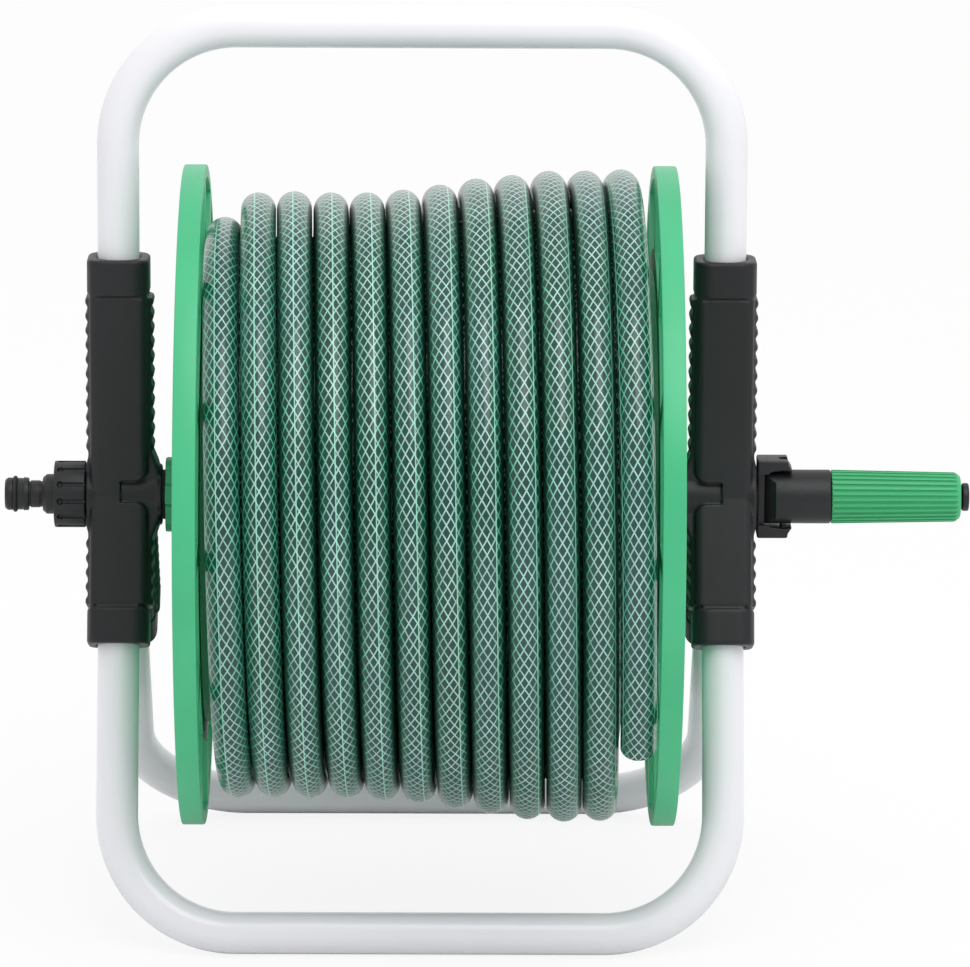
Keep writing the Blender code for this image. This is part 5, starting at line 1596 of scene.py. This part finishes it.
@dataclass
class HubCollar:
    """The six-lobed collar that clamps the left flange on the outlet elbow."""

    outer_x: float = -0.11639
    inner_x: float = -0.10089
    radius: float = 0.0178
    base_radius: float = 0.0155
    lobes: int = 6
    lobe_share: float = 0.44
    turn: float = math.radians(12.0)
    bore: float = 0.0128

    def build(self) -> bpy.types.Object:
        """Extrude the lobed outline with rounded edges, and bore it.

        Returns:
            The collar.
        """
        step = math.tau / self.lobes
        half = self.lobe_share / 2
        corners = []
        for index in range(self.lobes):
            for share, radius in ((-half, self.radius), (0.0, self.radius + 0.0003), (half, self.radius),
                                  (half * 1.5, self.base_radius), (0.5, self.base_radius),
                                  (1.0 - half * 1.5, self.base_radius)):
                angle = step * (index + share) + self.turn
                corners.append((-radius * math.sin(angle), -radius * math.cos(angle)))
        middle = (self.outer_x + self.inner_x) / 2
        upright = Matrix.Translation(on_axle(middle)) @ Matrix.Rotation(math.pi / 2, 4, "Y")
        made = slab("lobed_hub_collar", [rounded(corners, 0.0014, 4)], (self.inner_x - self.outer_x) / 2,
                    upright, 0.0006)
        combine(made, [rod("collar_bore", on_axle(self.outer_x - 0.005), on_axle(self.inner_x + 0.005),
                           self.bore, 64)], "DIFFERENCE")
        # The collar's deeper green is painted shade.
        SHADED_GREEN_MOULDING.dress(made)
        shade(made, 30.0)
        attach(made, "drum")
        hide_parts("hub_collar")
        return made


@dataclass
class WoundHose:
    """The hose: one unbroken tube in two layers, with its cut end and its tail on the spout."""

    trees: Trees
    radius: float = 0.0080
    bore: float = 0.0064
    bore_depth: float = 0.0150
    pitch: float = 0.0165
    turns: int = 12
    end_angle: float = math.radians(38.0)
    climb_start: float = math.radians(-190.0)
    climb_end: float = math.radians(30.0)
    first_turn_x: float = -0.08649
    left_limit: float = -0.08969
    right_limit: float = 0.0895
    lower_radius: float = 0.1120
    lower_bulge: float = 0.0120
    upper_radius: float = 0.12962
    upper_bulge: float = 0.0105
    bulge_start: float = -0.0320
    bulge_width: float = 0.1017
    unevenness: float = 0.00045
    wander: float = 0.00022
    points_per_turn: int = 60
    sides: int = 28
    tail_x: float = -0.06859
    tail_low: float = 0.0304
    tail_high: float = 0.1032

    def bulge(self, x: float) -> float:
        """Return how far the bulge in the layers has grown at a place along the axle, from 0 to 1."""
        return smooth_step((x - self.bulge_start) / self.bulge_width)

    def upper_point(self, angle: float) -> Vector:
        """Return a point of the outer layer, its angle counted on from the first front pass.

        Args:
            angle: The angle in radians.

        Returns:
            The point.
        """
        x = max(self.left_limit, self.first_turn_x + self.pitch * angle / math.tau)
        drift = self.wander * math.sin(0.37 * angle) * math.sin(1.31 * angle + 0.4)
        x += drift * smooth_step(angle / math.tau)
        climbed = smooth_step((angle - self.climb_start) / (self.climb_end - self.climb_start))
        top = self.upper_radius + self.upper_bulge * self.bulge(x)
        rise = self.unevenness * (1.0 + math.sin(0.613 * angle + 0.9) * math.sin(0.171 * angle)) * climbed
        return on_axle(x, self.lower_radius + (top - self.lower_radius) * climbed + rise, angle)

    def lower_point(self, angle: float) -> Vector:
        """Return a point of the lower layer, which is wound from the right towards the left.

        Args:
            angle: The angle in radians, below the climb's start.

        Returns:
            The point.
        """
        x = self.left_limit + self.pitch * (self.climb_start - angle) / math.tau
        return on_axle(x, self.lower_radius + self.lower_bulge * self.bulge(x), angle)

    def route(self) -> list[Vector]:
        """Return the whole wound line, from the lower layer's right end to the cut end.

        Returns:
            The line's points.
        """
        step = math.tau / self.points_per_turn
        lower_turns = (self.right_limit - self.left_limit) / self.pitch
        first = self.climb_start - lower_turns * math.tau
        last = (self.turns - 1) * math.tau + self.end_angle
        count = round((last - first) / step)
        angles = [first + (last - first) * index / count for index in range(count + 1)]
        points = [self.lower_point(a) if a < self.climb_start else self.upper_point(a) for a in angles]
        way = (points[-1] - points[-2]).normalized()
        return [*points, *(points[-1] + way * reach for reach in (0.001, 0.002))]

    def open_end(self, made: bpy.types.Object, tip: Vector, way: Vector, depth: float) -> None:
        """Turn the flat cap at the hose's end into a cut wall round an open bore.

        Args:
            made: The hose.
            tip: The middle of the cap.
            way: The direction that the hose ends in.
            depth: How deep the bore is made.
        """
        shape = bmesh.new()
        shape.from_mesh(made.data)
        caps = [face for face in shape.faces
                if len(face.verts) == self.sides and (face.calc_center_median() - tip).length < 0.001]
        for cap in caps:
            wall = bmesh.ops.inset_individual(shape, faces=[cap], thickness=self.radius - self.bore)["faces"]
            grown = bmesh.ops.extrude_face_region(shape, geom=[cap])["geom"]
            floor = [item for item in grown if isinstance(item, bmesh.types.BMVert)]
            bmesh.ops.translate(shape, verts=floor, vec=-way * depth)
            for face in {*wall, *(face for corner in floor for face in corner.link_faces)}:
                face.material_index = 1
        shape.to_mesh(made.data)
        shape.free()
        made.data.materials.append(HOSE_CUT.material())

    def wound(self) -> bpy.types.Object:
        """Sweep the wound line and open its cut end.

        Returns:
            The wound hose.
        """
        line = self.route()
        made = self.trees.swept_line("wound_hose", line, self.radius, self.sides, HOSE_VINYL)
        self.open_end(made, line[-1], (line[-1] - line[-2]).normalized(), self.bore_depth)
        length = sum((after - before).length for before, after in zip(line, line[1:]))
        log.info("wound hose: %.2f m in its turns", length)
        return made

    def tail(self) -> bpy.types.Object:
        """Sweep the hose's inner end, which is pushed over the elbow's spout.

        Returns:
            The tail.
        """
        heights = np.linspace(self.tail_low, self.tail_high, 8)
        line = [Vector((self.tail_x, AXLE_Y, AXLE_Z + float(height))) for height in heights]
        return self.trees.swept_line("hose_tail_on_spout", line, self.radius, self.sides, HOSE_VINYL)

    def build(self) -> list[bpy.types.Object]:
        """Build the wound hose and its tail in place of the CAD's solids.

        Returns:
            The two pieces.
        """
        wound, tail = self.wound(), self.tail()
        for piece, nodes in ((wound, ("hose_outer_layer", "hose_core")), (tail, ("hose_tail",))):
            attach(piece, "drum")
            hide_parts(*nodes)
        return [wound, tail]


@dataclass
class WindingHandle:
    """The fork on the drum, and the handle that folds on its pin: stem, grip and cap."""

    trees: Trees
    fork_x: float = 0.15309
    web: float = 0.0022
    fork_width: float = 0.0150
    inner_z: float = 0.0126
    ear: float = 0.0054
    ear_reach: float = 0.0162
    ear_slant: float = 0.0022
    pin_x: float = 0.16539
    axle_start: float = 0.11769
    axle_radius: float = 0.0070
    drive_start: float = 0.10389
    drive_end: float = 0.11889
    drive_radius: float = 0.0066
    pin_radius: float = 0.0015
    head_radius: float = 0.0021
    head_seat_radius: float = 0.0024
    head_depth: float = 0.0019
    knuckle_gap: float = 0.0004
    radius: float = 0.0123
    stem_nose: float = 0.0044
    stem_start: float = 0.17369
    barrel_end: float = 0.18669
    spindle: float = 0.0050
    grip_start: float = 0.18709
    grip_end: float = 0.24609
    grip_end_radius: float = 0.0113
    grip_ribs: int = 28
    groove_depth: float = 0.0010
    tip_radius: float = 0.0064

    def fork(self) -> bpy.types.Object:
        """Make the fork, with its axle, its hexagonal end and the pin's holes.

        Returns:
            The fork.
        """
        outer = self.inner_z + self.ear
        seat_x = self.fork_x + 0.0052
        tip = self.fork_x + self.ear_reach
        inner = self.inner_z + 0.0004
        top = [(self.fork_x, -outer), (tip - self.ear_slant, -outer),
               (tip - self.ear_slant * 0.90, -outer + 0.0020),
               (tip - self.ear_slant * 0.45, -outer + 0.0036), (tip, -inner),
               (tip - 0.0040, -inner - 0.0005), (seat_x + 0.0020, -inner), (seat_x, -inner + 0.0020)]
        outline = top + [(along, -height) for along, height in reversed(top)]
        upright = Matrix.Translation(on_axle(0.0)) @ Matrix.Rotation(math.pi / 2, 4, "X")
        made = slab("handle_fork_moulding", [rounded(outline, 0.0010, 3)], self.fork_width / 2, upright,
                    0.0008)
        axle = rod("fork_axle", on_axle(self.axle_start), on_axle(self.fork_x + 0.0011), self.axle_radius, 64)
        drive = rod("fork_drive", on_axle(self.drive_start), on_axle(self.drive_end), self.drive_radius, 6)
        combine(made, [axle, drive], "UNION")
        rise = Vector((0.0, 0.0, outer + 0.0050))
        sunk = Vector((0.0, 0.0, outer - self.head_depth))
        pin = on_axle(self.pin_x)
        reach = Vector((0.0, 0.0, inner))
        clear = self.pin_x - self.fork_x - self.web
        wall, tall = self.fork_x + 0.0009, 0.0120
        pocket = [(wall, -tall), (tip, -tall), (tip, tall), (wall, tall)]
        front = Matrix.Translation(on_axle(0.0) + Vector((0.0, -self.fork_width / 2, 0.0)))
        rear = self.fork_width / 2 + 0.0010
        front_x = seat_x - self.pin_x + 0.0010
        # The stem's squarer rear corner swings through the web here as the handle folds.
        swing = [(-clear, 0.0), (front_x, 0.0), (front_x, rear), (-clear, rear)]
        cuts = [rod("knuckle_seat", pin - reach, pin + reach, clear, 96),
                slab("folding_room", [swing], inner, Matrix.Translation(pin)),
                slab("web_pocket", [pocket], 0.0028, front @ Matrix.Rotation(math.pi / 2, 4, "X")),
                rod("screw_bore", on_axle(0.0988), on_axle(seat_x + 0.0050), 0.0023, 24),
                rod("screw_seat", on_axle(self.fork_x - 0.0006), on_axle(seat_x + 0.0050), 0.0043, 32),
                rod("pin_holes", pin - rise, pin + rise, 0.0018, 24),
                rod("upper_head_seat", pin + sunk, pin + rise, self.head_seat_radius, 32),
                rod("lower_head_seat", pin - rise, pin - sunk, self.head_seat_radius, 32)]
        combine(made, cuts, "DIFFERENCE")
        BLACK_MOULDING.dress(made)
        return shade(made, 30.0)

    def pin(self) -> bpy.types.Object:
        """Make the riveted pin with its two low heads sunk in the ears.

        Returns:
            The pin.
        """
        reach = self.inner_z + self.ear - self.head_depth + 0.0001
        head = self.head_radius
        half = [(reach + 0.0008, 0.0), (reach + 0.0008, head * 0.75), (reach, head), (reach, self.pin_radius)]
        profile = half + [(-reach, self.pin_radius), (-reach, 0.0)]
        made = lathe("fold_pin", rounded(profile, 0.0003, 3, closed=False), 32,
                     placed(on_axle(self.pin_x), (0.0, 0.0, 1.0)))
        ZINC.dress(made)
        return shade(made, 35.0)

    def stem(self) -> bpy.types.Object:
        """Make the stem: the round barrel and the spindle inside the grip.

        Returns:
            The stem.
        """
        low = self.pin_x - self.stem_nose
        high = self.grip_end + 0.0004
        profile = [(high, 0.0), (high, self.spindle), (self.barrel_end, self.spindle),
                   (self.barrel_end, self.radius), (low, self.radius), (low, 0.0)]
        made = lathe("handle_stem_moulding", rounded(profile, 0.0007, 4, closed=False), 96,
                     ALONG_AXLE)
        tall = Vector((0.0, 0.0, self.radius - 0.0002))
        tongue = self.pin_x - self.fork_x - self.web - self.knuckle_gap
        knuckle = rod("stem_knuckle", on_axle(self.pin_x) - tall, on_axle(self.pin_x) + tall, tongue, 96)
        combine(knuckle, [rod("barrel_round", on_axle(low - 0.0100), on_axle(high), self.radius, 96)],
                "INTERSECT")
        shoulder = self.stem_start - self.pin_x
        wide, back = self.radius * 1.3, -tongue * 1.5
        nose = arc((0.0, 0.0), tongue, math.pi / 2, math.pi, 16)
        outline = [(shoulder, tongue), *nose, (back, 0.0), (back, wide), (shoulder + 0.0014, wide)]
        relief = slab("rear_relief", [outline], self.radius * 1.2, Matrix.Translation(on_axle(self.pin_x)))
        rise = Vector((0.0, 0.0, self.radius * 1.5))
        bores = [rod("stem_pin_bore", on_axle(self.pin_x) - rise, on_axle(self.pin_x) + rise, 0.0019, 24),
                rod("peg_bore", on_axle(high + 0.0050), on_axle(self.grip_end - 0.0123), 0.0029, 24)]
        combine(made, [relief], "DIFFERENCE")
        combine(made, [knuckle], "UNION")
        combine(made, bores, "DIFFERENCE")
        BLACK_MOULDING.dress(made)
        return shade(made, 30.0)

    def grip(self) -> bpy.types.Object:
        """Make the tapered grip and cut the grooves between its ribs.

        Returns:
            The grip.
        """
        start, end, bore = self.grip_start, self.grip_end, self.spindle + 0.0005
        profile = [(start, bore), (start, self.radius - 0.0003), (start + 0.0003, self.radius),
                   (end - 0.0026, self.grip_end_radius), (end, self.grip_end_radius - 0.0018), (end, bore)]
        body = lathe("ribbed_grip", rounded(profile, 0.0018, 5), self.grip_ribs * 8,
                     ALONG_AXLE)
        r = 0.0008
        low, high = start + 0.0006, end - 0.0022
        slope = (self.radius - self.grip_end_radius) / (high - low)
        cutter = lathe("grip_groove", [(low - 0.003, 0.0), (low - 0.003, r), (high, r),
                                       (high + 0.0012, r * 0.5), (high + 0.0014, 0.0)], 12,
                       placed(Vector((0.0, 0.0, 0.0)), (1.0, 0.0, 0.0)))
        cutter.data.transform(Matrix.Translation((-low, 0.0, 0.0)))
        cutter.data.transform(Matrix.Rotation(math.atan(slope), 4, "Z"))
        cutter.data.transform(Matrix.Translation((low, -(self.radius + r - self.groove_depth), 0.0)))
        self.trees.cut.apply(body, GREEN_GRIP, Piece=cutter, Count=self.grip_ribs, Step=(0.0, 0.0, 0.0),
                             Turn=math.tau / self.grip_ribs, Centre=tuple(AXLE))
        discard(cutter)
        return shade(body, 28.0)

    def cap(self) -> bpy.types.Object:
        """Make the cap that keeps the grip on.

        Returns:
            The cap.
        """
        low = self.grip_end + 0.0007
        profile = [(low + 0.0032, 0.0), (low + 0.0032, self.tip_radius), (low, self.tip_radius),
                   (low, 0.0026), (low - 0.0120, 0.0026), (low - 0.0120, 0.0)]
        made = lathe("handle_end_cap", rounded(profile, 0.0010, 4, closed=False), 48,
                     ALONG_AXLE)
        BLACK_MOULDING.dress(made)
        return shade(made, 35.0)

    def build(self) -> list[bpy.types.Object]:
        """Build the handle's pieces on their bodies.

        Returns:
            The pieces.
        """
        made = []
        rows = ((self.fork(), "drum", "handle_fork"), (self.pin(), "drum", "fork_pin"),
                (self.stem(), "handle", "handle_stem"), (self.grip(), "grip", "handle_grip"),
                (self.cap(), "handle", "grip_cap"))
        for piece, body, node in rows:
            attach(piece, body)
            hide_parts(node)
            made.append(piece)
        return made


@dataclass
class CarriedNodes:
    """The CAD nodes that stay as they are, each with its finish."""

    nodes: dict[str, bpy.types.Object]

    def build(self) -> list[bpy.types.Object]:
        """Dress every CAD node, also those that another piece stands for.

        Returns:
            The nodes that show.
        """
        finishes = {"drum_barrel": GREEN_MOULDING, "outlet_elbow": BLACK_MOULDING,
                    "inlet_shaft": BLACK_MOULDING, "left_bush": ACETAL, "right_bush": ACETAL,
                    "inlet_washer": SEAL_RUBBER, "shaft_seal_1": SEAL_RUBBER, "shaft_seal_2": SEAL_RUBBER,
                    "shaft_clip": ZINC, "hose_clamp": ZINC, "axle_screw": ZINC,
                    "left_flange": GREEN_MOULDING, "right_flange": GREEN_MOULDING,
                    "hub_collar": GREEN_MOULDING, "handle_grip": GREEN_GRIP, "hose_tail": HOSE_CUT,
                    "hose_core": HOSE_CUT, "hose_outer_layer": HOSE_CUT, "nipple_ring": SEAL_RUBBER,
                    "fork_pin": ZINC,}
        dressed = []
        for name, node in self.nodes.items():
            finish = finishes.get(name, BLACK_MOULDING)
            if name.endswith("_tube"):
                finish = WHITE_ENAMEL
            if name.endswith("_screw"):
                finish = ZINC
            finish.dress(node)
            if not node.hide_render:
                dressed.append(node)
        return dressed


# Stage


@dataclass
class Studio:
    """The pale floor, the soft light and the camera at the photograph's angle."""

    target: Vector = field(default_factory=lambda: Vector((0.02904, AXLE_Y, 0.20205)))
    distance: float = 3.0
    elevation: float = math.radians(13.41)
    yaw: float = math.radians(0.52)
    roll: float = math.radians(0.32)
    focal_px: float = 6572.1
    image_width: int = 970
    sensor_mm: float = 36.0
    floor_half: float = 30.0
    floor_drop: float = 0.0004
    floor_glow: float = 0.86
    room_level: float = 0.66
    above_level: float = 0.22
    beyond_level: float = 0.4
    key_watts: float = 11.0
    key_place: tuple[float, float, float] = (0.32, -0.80, 1.58)
    key_size: Point = (0.9, 1.3)

    def camera(self) -> bpy.types.Object:
        """Set the camera at the photograph's place.

        Returns:
            The camera.
        """
        ahead = Vector((math.sin(self.yaw) * math.cos(self.elevation),
                        math.cos(self.yaw) * math.cos(self.elevation), -math.sin(self.elevation)))
        level = Vector((math.cos(self.yaw), -math.sin(self.yaw), 0.0))
        up = level.cross(ahead)
        right = level * math.cos(self.roll) + up * math.sin(self.roll)
        over = up * math.cos(self.roll) - level * math.sin(self.roll)
        data = bpy.data.cameras.new("camera")
        data.sensor_width = self.sensor_mm
        data.lens = self.focal_px / self.image_width * self.sensor_mm
        data.clip_end = 60.0
        made = bpy.data.objects.new("camera", data)
        turn = Matrix((right, over, -ahead)).transposed().to_4x4()
        made.matrix_world = Matrix.Translation(self.target - ahead * self.distance) @ turn
        bpy.context.scene.collection.objects.link(made)
        bpy.context.scene.camera = made
        return made

    def floor(self) -> bpy.types.Object:
        """Lay the floor: white to the camera, with the reel's soft shadow kept on it.

        Returns:
            The floor.
        """
        half = self.floor_half
        mesh = bpy.data.meshes.new("studio_floor")
        z = -self.floor_drop
        mesh.from_pydata([(-half, -half, z), (half, -half, z), (half, half, z), (-half, half, z)], [],
                         [(0, 1, 2, 3)])
        made = link("studio_floor", mesh)
        sheet = bpy.data.materials.new("white_studio_sweep")
        sheet.use_nodes = True
        tree = sheet.node_tree
        shader = tree.nodes["Principled BSDF"]
        shader.inputs["Base Color"].default_value = linear("#F0F0F0")
        shader.inputs["Roughness"].default_value = 0.9
        shader.inputs["Specular IOR Level"].default_value = 0.1
        add = partial(add_node, tree)
        path = add("ShaderNodeLightPath")
        seen = add("ShaderNodeMath", {0: path.outputs["Is Camera Ray"],
                                      1: path.outputs["Is Transmission Ray"]}, operation="MAXIMUM")
        share = add("ShaderNodeMath", {0: seen.outputs[0], 1: self.floor_glow}, operation="MULTIPLY")
        glow = add("ShaderNodeEmission", {"Color": (1.0, 1.0, 1.0, 1.0), "Strength": 1.0})
        mix = add("ShaderNodeMixShader", {0: share.outputs[0], 1: shader.outputs[0], 2: glow.outputs[0]})
        tree.links.new(mix.outputs[0], tree.nodes["Material Output"].inputs["Surface"])
        mesh.materials.append(sheet)
        return made

    def world(self) -> None:
        """Light the room: white to the camera, softer behind it than above and beyond the reel."""
        world = bpy.data.worlds.new("studio")
        bpy.context.scene.world = world
        world.use_nodes = True
        tree = world.node_tree
        add = partial(add_node, tree)
        way = add("ShaderNodeTexCoord").outputs["Generated"]
        parts = add("ShaderNodeSeparateXYZ", {0: way})
        above = add("ShaderNodeMapRange", {"Value": parts.outputs["Z"], "From Min": 0.05, "From Max": 0.8,
                                           "To Max": self.above_level}, interpolation_type="SMOOTHSTEP")
        beyond = add("ShaderNodeMapRange", {"Value": parts.outputs["Y"], "From Min": -0.2, "From Max": 0.8,
                                            "To Max": self.beyond_level}, interpolation_type="SMOOTHSTEP")
        both = add("ShaderNodeMath", {0: above.outputs["Result"], 1: beyond.outputs["Result"]},
                   operation="ADD")
        light = add("ShaderNodeMath", {0: both.outputs[0], 1: self.room_level}, operation="ADD")
        path = add("ShaderNodeLightPath")
        beyond_only = add("ShaderNodeMapRange", {"Value": parts.outputs["Y"], "From Min": 0.0,
                                                 "From Max": 0.5})
        glossy = add("ShaderNodeMath", {0: path.outputs["Is Glossy Ray"], 1: beyond_only.outputs["Result"]},
                     operation="MULTIPLY")
        seen = add("ShaderNodeMath", {0: path.outputs["Is Camera Ray"], 1: glossy.outputs[0]},
                   operation="MAXIMUM")
        seen = add("ShaderNodeMath", {0: seen.outputs[0], 1: path.outputs["Is Transmission Ray"]},
                   operation="MAXIMUM")
        level = add("ShaderNodeMix", {0: seen.outputs[0], 2: light.outputs[0], 3: 1.0}, data_type="FLOAT")
        back = tree.nodes["Background"]
        back.inputs["Color"].default_value = (1.0, 1.0, 1.0, 1.0)
        tree.links.new(level.outputs[0], back.inputs["Strength"])

    def lamp(self, name: str, spot: Sequence[float], size: Point, watts: float) -> bpy.types.Object:
        """Hang a soft oblong lamp that points at the reel.

        Args:
            name: The lamp's name.
            spot: Where it hangs.
            size: Its length and height.
            watts: Its power.

        Returns:
            The lamp.
        """
        data = bpy.data.lights.new(name, "AREA")
        data.shape = "RECTANGLE"
        data.size, data.size_y = size
        data.energy = watts
        made = bpy.data.objects.new(name, data)
        place = Vector(spot)
        back = (place - AXLE).normalized()
        across = Vector((0.0, 0.0, 1.0)).cross(back).normalized()
        turn = Matrix((across, back.cross(across), back)).transposed().to_4x4()
        made.matrix_world = Matrix.Translation(place) @ turn
        bpy.context.scene.collection.objects.link(made)
        return made

    def build(self) -> None:
        """Set the whole studio."""
        self.camera()
        self.floor()
        self.world()
        self.lamp("key_softbox", self.key_place, self.key_size, self.key_watts)
        bpy.context.scene.view_settings.view_transform = "Standard"


def report(pieces: Union[bpy.types.Object, Sequence[bpy.types.Object]]) -> None:
    """Log each piece with its triangles.

    Args:
        pieces: A piece or several.
    """
    for piece in [pieces] if isinstance(pieces, bpy.types.Object) else pieces:
        piece.data.calc_loop_triangles()
        log.info("%-28s %7d triangles", piece.name, len(piece.data.loop_triangles))


def main() -> None:
    """Build the reel's looks round the frame, in order, and set the studio."""
    logging.basicConfig(level=logging.INFO, format="%(message)s")
    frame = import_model()
    Studio().build()
    trees = Trees()
    report(TubeFrame(trees).build())
    for side in (-1, 1):
        report(SideBracket(trees, side).build())
        report(DrumFlange(trees, side).build())
    report(TubeScrews(trees).build())
    report(Inlet(trees).build())
    report(HubCollar().build())
    report(WoundHose(trees).build())
    report(WindingHandle(trees).build())
    report(CarriedNodes(frame["nodes"]).build())


if __name__ == "__main__":
    main()
